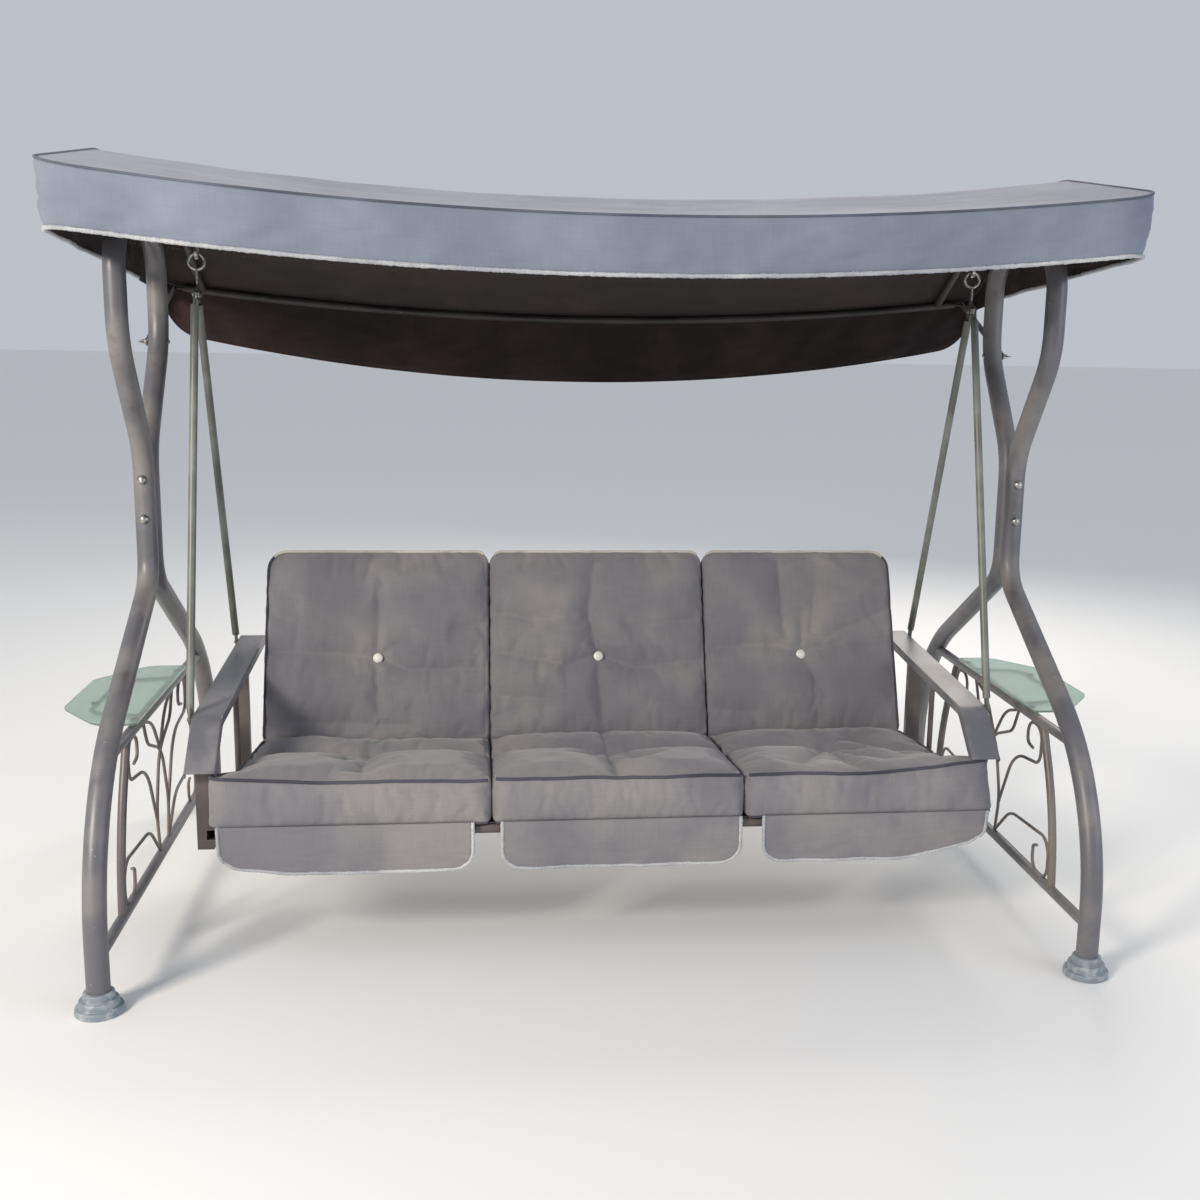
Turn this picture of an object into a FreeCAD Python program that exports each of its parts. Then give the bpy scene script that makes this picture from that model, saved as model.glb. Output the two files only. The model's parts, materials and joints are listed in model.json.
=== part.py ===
import FreeCAD, Part
import Sketcher
import math
import os

from FreeCAD import Placement, Rotation, Vector

# Three-seat garden swing with a tilting canopy, side tables and a reclining back.
# Millimetres. +X to the sitter's left, +Y to the back, +Z up. Origin on the ground under the beam.

doc = FreeCAD.newDocument("glider_swing")
sheet = doc.addObject("Spreadsheet::Sheet", "Size")

# alias, value, what it sets
SIZES = [
    # side frames
    ("leg_plane", 1100, "distance of each side frame from the middle"),
    ("leg_tube", 50, "leg and beam tube, outside"),
    ("leg_wall", 1.5, "wall of every large tube"),
    ("foot_reach", 662, "leg centre line at the ground, from the middle"),
    ("knee_height", 437, "corner of the lower leg bend"),
    ("leg_bend", 500, "bend radius of the knee"),
    ("waist_bend", 110, "bend radius where the legs come together"),
    ("shoulder_bend", 200, "bend radius where the legs part and at the shoulder"),
    ("waist_low_drop", 846, "corner where the legs come together, below the beam"),
    ("waist_high_drop", 524, "corner where the legs part again, below the beam"),
    ("waist_gap", 0.3, "gap between the two legs at the waist"),
    ("shoulder_reach", 211, "leg centre line above the waist"),
    ("shoulder_drop", 265, "corner of the upper leg bend, below the beam"),
    ("joint_drop", 165, "butt joint of the leg and the top arch, below the beam"),
    ("arch_bend", 110, "bend radius of the top arch"),
    ("beam_height", 1665, "centre of the beam and of the top arches"),
    ("bolt_low_rise", 155, "lower waist bolt above the lower waist corner"),
    ("bolt_high_drop", 71, "upper waist bolt below the upper waist corner"),
    ("bolt_dia", 8, "waist bolt shank"),
    ("hole_gap", 0.1, "radial gap of a bolt in its hole"),
    ("foot_dia", 102, "foot cap, largest tier"),
    ("foot_height", 48, "foot cap"),
    ("foot_floor", 6, "foot cap floor under the tube"),
    ("foot_collar", 8, "wall of the foot cap's top tier"),
    # side panels
    ("bar_tube", 25, "upper and lower side bars"),
    ("thin_wall", 1.2, "wall of every small tube"),
    ("low_bar", 115, "height of the lower side bar"),
    ("high_bar", 507, "height of the upper side bar"),
    ("baluster_tube", 20, "bowed upright between the bars"),
    ("baluster_top", 322, "baluster at the upper bar, from the middle"),
    ("baluster_knee", 425, "corner of the baluster's bow, from the middle"),
    ("baluster_foot", 440, "baluster at the lower bar, from the middle"),
    ("knee_rise", 185, "corner of the baluster's bow above the lower bar"),
    ("scroll_rod", 8, "scroll rod"),
    # tables
    ("table_half", 287, "half length of a table along its bar"),
    ("table_reach", 190, "table width beyond the side frame"),
    ("table_glass", 5, "glass thickness"),
    ("pad_height", 4, "rubber pad under the glass"),
    ("pad_dia", 18, "rubber pad"),
    ("loop_rod", 12, "table support loop"),
    ("loop_inset", 102, "end of the support loop inside the end of the glass"),
    # swing suspension
    ("hang_inset", 140, "plane of the hanger rods, inside the side frame"),
    ("hang_drop", 57, "axis that the seat swings about, below the beam"),
    ("ring_radius", 18.5, "centre line of the hanger ring"),
    ("ring_rod", 8, "rod of the hanger ring"),
    ("eye_rod", 10, "rod of the beam's eye bolt"),
    ("eye_inner", 7, "inside radius of the eye"),
    ("eye_gap", 0.3, "gap between ring and eye"),
    ("link_drop", 96, "from the swing axis to the hanger bolts"),
    ("lug_spread", 16, "half the distance between the two hanger bolts of a link"),
    ("hanger_tube", 19, "hanger rod"),
    ("lug_width", 24, "flattened end of a hanger rod"),
    ("lug_thick", 4, "flattened end of a hanger rod"),
    ("hanger_bolt", 8, "bolt at each end of a hanger rod"),
    # arms
    ("arm_gap", 2, "outer edge of an arm inside the hanger plane"),
    ("arm_wide", 70, "arm width"),
    ("arm_sheet", 2, "sheet that the arm is pressed from"),
    ("arm_deep", 22, "depth of the arm's turned-down sides"),
    ("arm_back", 250, "rear end of the arm behind the recline axis"),
    ("arm_rise", 340, "rear end of the arm above the recline axis"),
    ("fold_ahead", 57, "fold of the arm behind the middle of the front post"),
    ("fold_rise", 299, "fold of the arm above the recline axis"),
    ("lip_ahead", 113, "lower end of the arm's front drop ahead of the fold"),
    ("lip_drop", 100, "lower end of the arm's front drop below the fold"),
    ("post_wide", 38, "arm post across the seat"),
    ("post_deep", 20, "arm post along the arm"),
    ("post_set", 90, "front post behind the front rail, along the seat"),
    ("post_back", 33, "rear post behind the recline axis"),
    ("post_rise", 1, "lower end of the front post above the recline axis"),
    ("brace_rod", 14, "brace between the seat and the arm"),
    ("brace_ahead", 205, "brace ahead of the recline axis"),
    # seat
    ("pivot_y", 145, "axis that the back reclines about"),
    ("pivot_z", 247, "height of that axis"),
    ("seat_slope", 6.5, "seat, degrees up towards the front"),
    ("back_lean", 23.5, "back, degrees from upright"),
    ("seat_tube", 25, "seat and back frame tube"),
    ("sling_thick", 2, "sling cloth"),
    ("pad_gap", 0.5, "gap between sling and cushion"),
    ("rail_back", 42, "rear rail ahead of the recline axis"),
    ("front_inset", 22, "front rail behind the front of the cushions"),
    ("support_plane", 290, "each support under the seat, from the middle"),
    ("cushion_inset", 28, "ends of the cushions inside the arms"),
    ("cushion_gap", 3, "gap between two cushions"),
    ("seam_left", 266, "seam of the left and middle cushions, from the middle"),
    ("seam_right", 324, "seam of the middle and right cushions, from the middle"),
    ("flap_inset", 22, "side of a flap inside the side of its cushion"),
    ("seat_pad", 98, "seat cushion thickness"),
    ("back_pad", 90, "back cushion thickness"),
    ("seat_front", 622, "cushion front from the recline axis, along the seat"),
    ("back_top", 604, "cushion top from the recline axis, along the back"),
    ("top_inset", 24, "top tube of the back below the top of the cushions"),
    ("back_rail_high", 205, "upper cross rail of the back, along it"),
    ("back_rail_low", 168, "lower cross rail of the back, along it"),
    ("mitre_gap", 3, "gap between seat and back cushion"),
    ("flap_drop", 116, "height of a front flap"),
    ("flap_thick", 4, "front flap"),
    ("button_dia", 26, "button of a back cushion"),
    ("button_high", 308, "button from the recline axis, along the back"),
    # recline
    ("recline_angle", 60, "how far the back goes down"),
    ("recline_bolt", 10, "recline bolt and stud"),
    ("plate_inset", 23, "inner face of a recline plate inside the arm"),
    ("plate_thick", 4, "recline plate"),
    ("plate_reach", 75, "slot radius of the recline plate"),
    ("pin_gap", 0.05, "radial running gap of a pivot"),
    # canopy
    ("canopy_over", 40, "end of the cover outside the side frame"),
    ("axis_rise", 136, "axis that the canopy tilts about, above the beam"),
    ("canopy_tilt", 10, "how far the canopy tips back, degrees"),
    ("canopy_rail", 20, "canopy tube"),
    ("rail_inset", 50, "plane of each canopy side rail inside the side frame"),
    ("end_inset", 42, "ends of the front and rear rails inside the cover's ends"),
    ("ridge_ahead", 46, "ridge rail ahead of the tilt axis"),
    ("front_reach", 610, "front rail from the middle"),
    ("front_drop", 78, "front rail below the tilt axis at the side rails"),
    ("rear_reach", 550, "rear rail from the middle"),
    ("rear_drop", 270, "rear rail below the tilt axis at the side rails"),
    ("crown_half", 70, "half of the level stretch over the beam"),
    ("rail_sag", 60, "how much lower the rails are in the middle"),
    ("cover_wall", 3, "cover cloth"),
    ("cover_gap", 1, "gap between cover and rails"),
    ("front_skirt", 115, "depth of the front valance"),
    ("rear_skirt", 122, "depth of the rear valance at its ends"),
    ("rear_droop", 52, "extra depth of the rear valance in the middle"),
    ("canopy_bolt", 8, "bolt that the canopy tilts on"),
    # canopy stays
    ("stay_wide", 20, "stay, a slotted flat bar"),
    ("stay_thick", 3, "stay"),
    ("stud_drop", 270, "stay's clamp stud on the rear leg, below the beam"),
    ("stud_dia", 6, "clamp stud"),
    ("slot_wide", 12, "slot in the stay"),
    ("stay_gap", 1.2, "gap between leg and stay"),
]


class Sizes:
    pass


S = Sizes()
for number, (alias, value, note) in enumerate(SIZES, 1):
    sheet.set(f"A{number}", note)
    sheet.set(f"B{number}", str(value))
    sheet.setAlias(f"B{number}", alias)
doc.recompute()
TEXT = {}
for alias, value, note in SIZES:
    setattr(S, alias, float(sheet.get(alias)))
    TEXT[alias] = f"Size.{alias}"

# places that follow from the sizes, each a sum of them
FOLLOWERS = [
    ("waist_low", "beam_height - waist_low_drop"),
    ("waist_high", "beam_height - waist_high_drop"),
    ("shoulder_height", "beam_height - shoulder_drop"),
    ("joint_height", "beam_height - joint_drop"),
    ("bolt_low", "waist_low + bolt_low_rise"),
    ("bolt_high", "waist_high - bolt_high_drop"),
    ("hang_plane", "leg_plane - hang_inset"),
    ("hang_height", "beam_height - hang_drop"),
    ("arm_inner", "hang_plane - arm_gap - arm_wide"),
    ("arm_rear_y", "pivot_y + arm_back"),
    ("arm_rear_z", "pivot_z + arm_rise"),
    ("arm_fold_z", "pivot_z + fold_rise"),
    ("arm_lip_z", "arm_fold_z - lip_drop"),
    ("post_rear", "pivot_y + post_back"),
    ("post_foot", "pivot_z + post_rise"),
    ("cushion_half", "arm_inner - cushion_inset"),
    ("plate_plane", "arm_inner - plate_inset"),
    ("canopy_axis", "beam_height + axis_rise"),
    ("canopy_half", "leg_plane + canopy_over"),
    ("side_rail", "leg_plane - rail_inset"),
    ("rail_end", "canopy_half - end_inset"),
    ("front_height", "canopy_axis - front_drop"),
    ("rear_height", "canopy_axis - rear_drop"),
    ("stud_height", "beam_height - stud_drop"),
]
for alias, formula in FOLLOWERS:
    total, sign, words = 0.0, 1, []
    for word in formula.split():
        if word in ("+", "-"):
            sign = 1 if word == "+" else -1
            words.append(word)
        else:
            total += sign * getattr(S, word)
            words.append(TEXT[word])
    setattr(S, alias, total)
    TEXT[alias] = f"({' '.join(words)})"

NODES = []
SIDES = (("left", -1), ("right", 1))
ROWS = (("front", -1), ("rear", 1))


# ---- building blocks -------------------------------------------------------------------------

def node(part, name):
    """Lists an object as a finished sub-part."""
    part.Label = name
    NODES.append(part)
    return part


def blank_name(name):
    return name + "_blank"


def origin_plane(body, role):
    return [plane for plane in body.Origin.OriginFeatures if plane.Role == role][0]


def new_sketch(body, name, role, offset=0.0):
    sketch = body.newObject("Sketcher::SketchObject", name)
    sketch.AttachmentSupport = [(origin_plane(body, role), "")]
    sketch.MapMode = "FlatFace"
    sketch.AttachmentOffset = Placement(Vector(0, 0, offset), Rotation())
    return sketch


def bind(sketch, index, kind, value, expression):
    """Gives a sketch element a size that follows the sheet."""
    row = sketch.addConstraint(Sketcher.Constraint(kind, index, value))
    name = f"size{row}"
    sketch.renameConstraint(row, name)
    sketch.setExpression(f"Constraints.{name}", expression)


def corner_arc(before, corner, after, radius):
    """The tangent arc that rounds a corner: its first, middle and last points."""
    u = (before - corner).normalize()
    v = (after - corner).normalize()
    half = math.acos(max(-1.0, min(1.0, u.dot(v)))) / 2
    reach = radius / math.tan(half)
    middle = (u + v).normalize() * (radius / math.sin(half) - radius)
    return corner + u * reach, corner + middle, corner + v * reach


def bent_line(corners, radii):
    """Straight runs joined by tangent arcs, as a tube bender makes them."""
    points = [Vector(x, y, 0) for x, y in corners]
    shapes, start = [], points[0]
    for k, radius in enumerate(radii, 1):
        first, middle, last = corner_arc(points[k - 1], points[k], points[k + 1], radius)
        shapes += [Part.LineSegment(start, first), Part.Arc(first, middle, last)]
        start = last
    return shapes + [Part.LineSegment(start, points[-1])]


def outline(corners, radii):
    """A closed outline whose corners are rounded; a radius of 0 leaves one sharp."""
    points = [Vector(x, y, 0) for x, y in corners]
    count = len(points)
    arcs = []
    for k, radius in enumerate(radii):
        if radius:
            arcs.append(corner_arc(points[k - 1], points[k], points[(k + 1) % count], radius))
        else:
            arcs.append((points[k], None, points[k]))
    shapes = []
    for k, (first, middle, last) in enumerate(arcs):
        if middle is not None:
            shapes.append(Part.Arc(first, middle, last))
        shapes.append(Part.LineSegment(last, arcs[(k + 1) % count][0]))
    return shapes


def tube(name, role, shapes, diameter, wall=None, offset=0.0):
    """A round tube, or a rod where no wall is named, along a flat path in an origin plane."""
    body = doc.addObject("PartDesign::Body", name)
    path = new_sketch(body, name + "_path", role, offset)
    path.addGeometry(shapes, False)
    ring = body.newObject("Sketcher::SketchObject", name + "_section")
    ring.AttachmentSupport = [(path, "Edge1")]
    ring.MapMode = "NormalToEdge"
    bores = [(getattr(S, diameter) / 2, f"Size.{diameter} / 2")]
    if wall:
        bores.append((bores[0][0] - getattr(S, wall), f"Size.{diameter} / 2 - Size.{wall}"))
    for index, (radius, expression) in enumerate(bores):
        ring.addGeometry(Part.Circle(Vector(), Vector(0, 0, 1), radius), False)
        ring.addConstraint(Sketcher.Constraint("Coincident", index, 3, -1, 1))
        bind(ring, index, "Radius", radius, expression)
    doc.recompute()
    pipe = body.newObject("PartDesign::AdditivePipe", name + "_sweep")
    pipe.Profile = ring
    pipe.Spine = (path, [f"Edge{k + 1}" for k in range(len(shapes))])
    return body


def plate(name, role, shapes, thickness, offset=0.0, holes=()):
    """A flat plate from a closed outline, with round holes (x, y, radius, radius expression)."""
    body = doc.addObject("PartDesign::Body", name)
    sketch = new_sketch(body, name + "_outline", role, offset)
    sketch.addGeometry(shapes, False)
    for x, y, radius, expression in holes:
        index = sketch.addGeometry(Part.Circle(Vector(x, y, 0), Vector(0, 0, 1), radius), False)
        bind(sketch, index, "Radius", radius, expression)
    pad = body.newObject("PartDesign::Pad", name + "_pad")
    pad.Profile = sketch
    if isinstance(thickness, str):
        pad.Length = 1.0
        pad.setExpression("Length", thickness)
    else:
        pad.Length = thickness
    pad.Midplane = True
    return body


def pin(name, diameter, length, centre, axis, expression=None):
    """A plain round bar about its middle point."""
    bar = doc.addObject("Part::Cylinder", name)
    bar.Radius = diameter / 2
    if expression:
        bar.setExpression("Radius", expression)
    bar.Height = length
    turn = Rotation(Vector(0, 0, 1), Vector(*axis))
    bar.Placement = Placement(Vector(*centre) - turn.multVec(Vector(0, 0, length / 2)), turn)
    return bar


def hexagon(name, across, height, centre, axis):
    """A hexagon nut or head about its middle point."""
    nut = doc.addObject("Part::Prism", name)
    nut.Polygon = 6
    nut.Circumradius = across / math.sqrt(3)
    nut.Height = height
    turn = Rotation(Vector(0, 0, 1), Vector(*axis))
    nut.Placement = Placement(Vector(*centre) - turn.multVec(Vector(0, 0, height / 2)), turn)
    return nut


def dome(name, radius, height, base, axis):
    """A domed bolt head: a slice of a ball standing on its base point."""
    ball_radius = (radius ** 2 + height ** 2) / (2 * height)
    cap = doc.addObject("Part::Sphere", name)
    cap.Radius = ball_radius
    cap.Angle1 = math.degrees(math.asin((ball_radius - height) / ball_radius))
    cap.Angle2 = 90
    turn = Rotation(Vector(0, 0, 1), Vector(*axis))
    cap.Placement = Placement(Vector(*base) - turn.multVec(Vector(0, 0, ball_radius - height)), turn)
    return cap


def torus(name, ring, rod, centre, axis):
    part = doc.addObject("Part::Torus", name)
    part.Radius1 = ring
    part.Radius2 = rod / 2
    part.Placement = Placement(Vector(*centre), Rotation(Vector(0, 0, 1), Vector(*axis)))
    return part


def group(name, parts):
    """Separate solids that share one node."""
    compound = doc.addObject("Part::Compound", name)
    compound.Links = parts
    return compound


def weld(name, parts):
    fused = doc.addObject("Part::MultiFuse", name)
    fused.Shapes = parts
    return fused


def trim(name, base, tools):
    """Cuts a piece back from the pieces that it is fitted to."""
    cut = doc.addObject("Part::Cut", name)
    cut.Base = base
    cut.Tool = tools[0] if len(tools) == 1 else group(name + "_tools", tools)
    return cut


def place_x(part, expression):
    part.setExpression("Placement.Base.x", expression)
    return part


def side_text(side, alias):
    return TEXT[alias] if side > 0 else "-" + TEXT[alias]


# ---- side frames -----------------------------------------------------------------------------

def leg_path(row):
    waist = (S.leg_tube + S.waist_gap) / 2
    corners = [(S.foot_reach, S.foot_floor), (S.foot_reach, S.knee_height), (waist, S.waist_low),
               (waist, S.waist_high), (S.shoulder_reach, S.shoulder_height),
               (S.shoulder_reach, S.joint_height)]
    return bent_line([(row * y, z) for y, z in corners],
                     [S.leg_bend, S.waist_bend, S.shoulder_bend, S.shoulder_bend])


def leg_reach(height):
    """How far a leg's centre line is from the middle at a given height."""
    line = Part.Wire([shape.toShape() for shape in leg_path(1)])
    level = Part.makeLine(Vector(-1, height, 0), Vector(2 * S.foot_reach, height, 0))
    return line.distToShape(level)[1][0][0].x


def arch_path():
    foot = S.shoulder_reach
    corners = [(-foot, S.joint_height), (-foot, S.beam_height), (foot, S.beam_height), (foot, S.joint_height)]
    return bent_line(corners, [S.arch_bend] * 2)


def leg_holes(side, row):
    """Round tools for the two waist bolts and, in a rear leg, the stay's stud."""
    drill = S.bolt_dia + 2 * S.hole_gap
    tools = [pin(f"drill_{side}_{row}_{k}", drill, 200, (side * S.leg_plane, 0, height), (0, 1, 0),
                 "Size.bolt_dia / 2 + Size.hole_gap")
             for k, height in enumerate((S.bolt_low, S.bolt_high))]
    if row > 0:
        tools.append(pin(f"drill_{side}_stay", S.stud_dia + 2 * S.hole_gap, 200,
                         (side * S.leg_plane, leg_reach(S.stud_height), S.stud_height), (1, 0, 0),
                         "Size.stud_dia / 2 + Size.hole_gap"))
    return tools


def make_legs():
    blanks = {}
    for end, side in SIDES:
        for place, row in ROWS:
            name = f"{place}_leg_{end}"
            pipe = place_x(tube(name + "_pipe", "YZ_Plane", leg_path(row), "leg_tube", "leg_wall"),
                           side_text(side, "leg_plane"))
            blanks[side, row] = place_x(tube(blank_name(name), "YZ_Plane", leg_path(row), "leg_tube"),
                                        side_text(side, "leg_plane"))
            node(trim(name, pipe, leg_holes(side, row)), name)
    return blanks


def make_arches_and_beam():
    blanks, drills = [], []
    for end, side in SIDES:
        name = f"top_arch_{end}"
        node(place_x(tube(name, "YZ_Plane", arch_path(), "leg_tube", "leg_wall"),
                     side_text(side, "leg_plane")), name)
        blanks.append(place_x(tube(blank_name(name), "YZ_Plane", arch_path(), "leg_tube"),
                              side_text(side, "leg_plane")))
        drills.append(pin(f"drill_beam_{end}", S.eye_rod + 2 * S.hole_gap, 2 * S.leg_tube,
                          (side * S.hang_plane, 0, S.beam_height), (0, 0, 1),
                          "Size.eye_rod / 2 + Size.hole_gap"))
    run = [Part.LineSegment(Vector(-S.leg_plane, S.beam_height, 0), Vector(S.leg_plane, S.beam_height, 0))]
    beam = tube("beam_pipe", "XZ_Plane", run, "leg_tube", "leg_wall")
    node(trim("top_beam", beam, blanks + drills), "top_beam")


def make_feet():
    """Three stepped tiers with a socket for the leg."""
    tier = S.foot_height / 3
    socket = S.leg_tube / 2 + S.hole_gap
    rims = [S.foot_dia / 2, (S.foot_dia / 2 + socket + S.foot_collar) / 2, socket + S.foot_collar]
    corners = [(0, 0), (rims[0], 0), (rims[0], tier), (rims[1], tier), (rims[1], 2 * tier),
               (rims[2], 2 * tier), (rims[2], 3 * tier), (socket, 3 * tier), (socket, S.foot_floor),
               (0, S.foot_floor)]
    radii = [0, 3, 5, 2, 5, 2, 5, 0, 0, 0]
    for end, side in SIDES:
        for place, row in ROWS:
            name = f"foot_cap_{place}_{end}"
            body = doc.addObject("PartDesign::Body", name)
            sketch = new_sketch(body, name + "_profile", "XZ_Plane")
            sketch.addGeometry(outline(corners, radii), False)
            turned = body.newObject("PartDesign::Revolution", name + "_turned")
            turned.Profile = sketch
            turned.ReferenceAxis = (sketch, ["V_Axis"])
            turned.Angle = 360
            place_x(body, side_text(side, "leg_plane"))
            body.setExpression("Placement.Base.y", "Size.foot_reach" if row > 0 else "-Size.foot_reach")
            node(body, name)


def make_side_bars(legs):
    blanks = {}
    for end, side in SIDES:
        for level in ("low_bar", "high_bar"):
            height = getattr(S, level)
            reach = leg_reach(height)
            run = [Part.LineSegment(Vector(-reach, height, 0), Vector(reach, height, 0))]
            label = ("lower" if level == "low_bar" else "upper") + "_bar_" + end
            pipe = place_x(tube(label + "_pipe", "YZ_Plane", run, "bar_tube", "thin_wall"),
                           side_text(side, "leg_plane"))
            blanks[side, level] = place_x(tube(blank_name(label), "YZ_Plane", run, "bar_tube"),
                                          side_text(side, "leg_plane"))
            whole = trim(label, pipe, [legs[side, -1], legs[side, 1]])
            node(whole, label)
    return blanks


def make_balusters(bars):
    blanks = {}
    for end, side in SIDES:
        pieces = []
        for place, row in ROWS:
            corners = [(row * S.baluster_top, S.high_bar), (row * S.baluster_knee, S.low_bar + S.knee_rise),
                       (row * S.baluster_foot, S.low_bar)]
            name = f"baluster_{place}_{end}"
            pipe = place_x(tube(name, "YZ_Plane", bent_line(corners, [700]), "baluster_tube", "thin_wall"),
                           side_text(side, "leg_plane"))
            blanks[side, row] = place_x(
                tube(blank_name(name), "YZ_Plane", bent_line(corners, [700]), "baluster_tube"),
                side_text(side, "leg_plane"))
            pieces.append(trim(name + "_fitted", pipe, [bars[side, "low_bar"], bars[side, "high_bar"]]))
        node(group(f"balusters_{end}", pieces), f"balusters_{end}")
    return blanks


# corners and bend radii of the four scroll rods of one half, the other half mirrored;
# heights are above the lower bar, for a panel that is SCROLL_SPAN from bar to bar
SCROLL_SPAN = 392
SCROLLS = [
    ("leaf", [(168, 392), (128, 315), (-15, 263), (-68, 110), (-46, 0)], [60, 110, 150]),
    ("hook", [(-60, 90), (-150, 263), (-318, 283), (-322, 375), (-232, 377), (-231, 317), (-268, 311)],
     [130, 34, 38, 34, 18]),
    ("brow", [(-2, 269), (-70, 355), (-200, 392)], [130]),
    ("curl", [(-52, 15), (-150, 101), (-408, 117), (-410, 7), (-314, 9), (-314, 69), (-336, 77)],
     [120, 46, 42, 34, 12]),
]


def make_scrollwork(bars):
    stretch = (S.high_bar - S.low_bar) / SCROLL_SPAN
    for end, side in SIDES:
        rods = []
        for label, corners, radii in SCROLLS:
            for row in (-1, 1):
                flipped = [(-row * y, S.low_bar + stretch * z) for y, z in corners]
                name = f"scroll_{label}_{end}_{'front' if row < 0 else 'rear'}"
                rods.append(place_x(tube(name, "YZ_Plane", bent_line(flipped, radii), "scroll_rod"),
                                    side_text(side, "leg_plane")))
        whole = weld(f"scrolls_{end}", rods)
        fitted = trim(f"scrollwork_{end}", whole, [bars[side, "low_bar"], bars[side, "high_bar"]])
        node(fitted, f"scrollwork_{end}")


def make_tables(bars):
    bar_top = S.high_bar + S.bar_tube / 2
    glass_low = bar_top + S.pad_height
    inner, outer = S.leg_plane - 14, S.leg_plane + S.table_reach
    loop_end, loop_out = S.table_half - S.loop_inset, outer - 62
    for end, side in SIDES:
        half = S.table_half
        corners = [(inner, -half), (outer - 110, -half), (outer, -half + 150), (outer, half - 150),
                   (outer - 110, half), (inner, half)]
        glass = plate(f"table_glass_{end}", "XY_Plane",
                      outline([(side * x, y) for x, y in corners], [10, 60, 60, 60, 60, 10]),
                      "Size.table_glass", glass_low + S.table_glass / 2)
        node(glass, f"table_glass_{end}")
        run = [(S.leg_plane, -loop_end), (loop_out, -loop_end + 30), (loop_out, loop_end - 30),
               (S.leg_plane, loop_end)]
        loop = tube(f"table_loop_{end}", "XY_Plane",
                    bent_line([(side * x, y) for x, y in run], [50, 50]), "loop_rod",
                    offset=bar_top - S.loop_rod / 2)
        node(trim(f"table_support_{end}", loop, [bars[side, "high_bar"]]), f"table_support_{end}")
    pads = [pin(f"pad_{side}_{k}", S.pad_dia, S.pad_height, (side * x, y, bar_top + S.pad_height / 2), (0, 0, 1),
                "Size.pad_dia / 2")
            for _, side in SIDES
            for k, (x, y) in enumerate([(S.leg_plane, 47 - S.table_half), (S.leg_plane, S.table_half - 47),
                                        (loop_out, 95 - loop_end), (loop_out, loop_end - 95)])]
    node(group("table_pads", pads), "table_pads")


def make_waist_bolts():
    """A domed bolt through both legs, its nut at the rear."""
    face = S.leg_tube + S.waist_gap / 2
    bolts = []
    for end, side in SIDES:
        for k, height in enumerate((S.bolt_low, S.bolt_high)):
            x = side * S.leg_plane
            shank = pin(f"bolt_shank_{end}_{k}", S.bolt_dia, 2 * face + 14, (x, 7, height), (0, 1, 0),
                        "Size.bolt_dia / 2")
            head = dome(f"bolt_head_{end}_{k}", 12, 8, (x, -face, height), (0, -1, 0))
            nut = hexagon(f"bolt_nut_{end}_{k}", 17, 8, (x, face + 4, height), (0, 1, 0))
            bolts.append(weld(f"waist_bolt_{end}_{k}", [shank, head, nut]))
    node(group("waist_bolts", bolts), "waist_bolts")


# ---- suspension ------------------------------------------------------------------------------

def make_hooks():
    """An eye bolt up through the beam on each side, with a nut on top."""
    centre = S.hang_height + S.eye_inner - S.ring_rod / 2 - S.eye_gap
    top = S.beam_height + S.leg_tube / 2
    mean = S.eye_inner + S.eye_rod / 2
    hooks = []
    for end, side in SIDES:
        x = side * S.hang_plane
        foot = centre + mean
        length = top + 12 - foot
        hooks.append(weld(f"eye_bolt_{end}", [
            torus(f"eye_{end}", mean, S.eye_rod, (x, 0, centre), (1, 0, 0)),
            pin(f"eye_shank_{end}", S.eye_rod, length, (x, 0, foot + length / 2), (0, 0, 1), "Size.eye_rod / 2"),
            hexagon(f"eye_nut_{end}", 17, 8, (x, 0, top + 4), (0, 0, 1)),
        ]))
    node(group("swing_hooks", hooks), "swing_hooks")


def link_height():
    return S.hang_height - S.link_drop


def make_links():
    """Ring, neck and a small plate that takes both hanger rods."""
    for end, side in SIDES:
        x = side * S.hang_plane
        ring_low = S.hang_height - 2 * S.ring_radius
        ring = torus(f"link_ring_{end}", S.ring_radius, S.ring_rod, (x, 0, S.hang_height - S.ring_radius), (0, 1, 0))
        low = link_height()
        corners = [(-6, ring_low), (-6, low + 22), (-S.lug_spread - 12, low + 6), (-S.lug_spread - 12, low - 12),
                   (S.lug_spread + 12, low - 12), (S.lug_spread + 12, low + 6), (6, low + 22), (6, ring_low)]
        radius = S.hanger_bolt / 2
        holes = [(k * S.lug_spread, low, radius, "Size.hanger_bolt / 2") for k in (-1, 1)]
        neck = plate(f"link_plate_{end}", "YZ_Plane", outline(corners, [0, 6, 6, 8, 8, 6, 6, 0]),
                     "Size.lug_thick", 0.0, holes)
        place_x(neck, side_text(side, "hang_plane"))
        node(weld(f"hanger_link_{end}", [ring, neck]), f"hanger_link_{end}")


def arm_surface(y):
    """Height of the arm's upper face at a place along it."""
    if y >= S.arm_fold_y:
        share = (y - S.arm_fold_y) / (S.arm_rear_y - S.arm_fold_y)
        return S.arm_fold_z + share * (S.arm_rear_z - S.arm_fold_z)
    share = (y - S.arm_lip_y) / (S.arm_fold_y - S.arm_lip_y)
    return S.arm_lip_z + share * (S.arm_fold_z - S.arm_lip_z)


def hanger_ends(row):
    """Upper and lower bolt of a hanger rod, in the plane across the swing axis."""
    y = S.arm_fold_y + 17 if row < 0 else S.arm_rear_y - 25
    return (row * S.lug_spread, link_height()), (y, arm_surface(y) - S.arm_deep / 2)


def hanger_plane(side):
    """The rods lie just outside the link plate, and outside the arm's turned-down side."""
    return side * (S.hang_plane + S.lug_thick)


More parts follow.
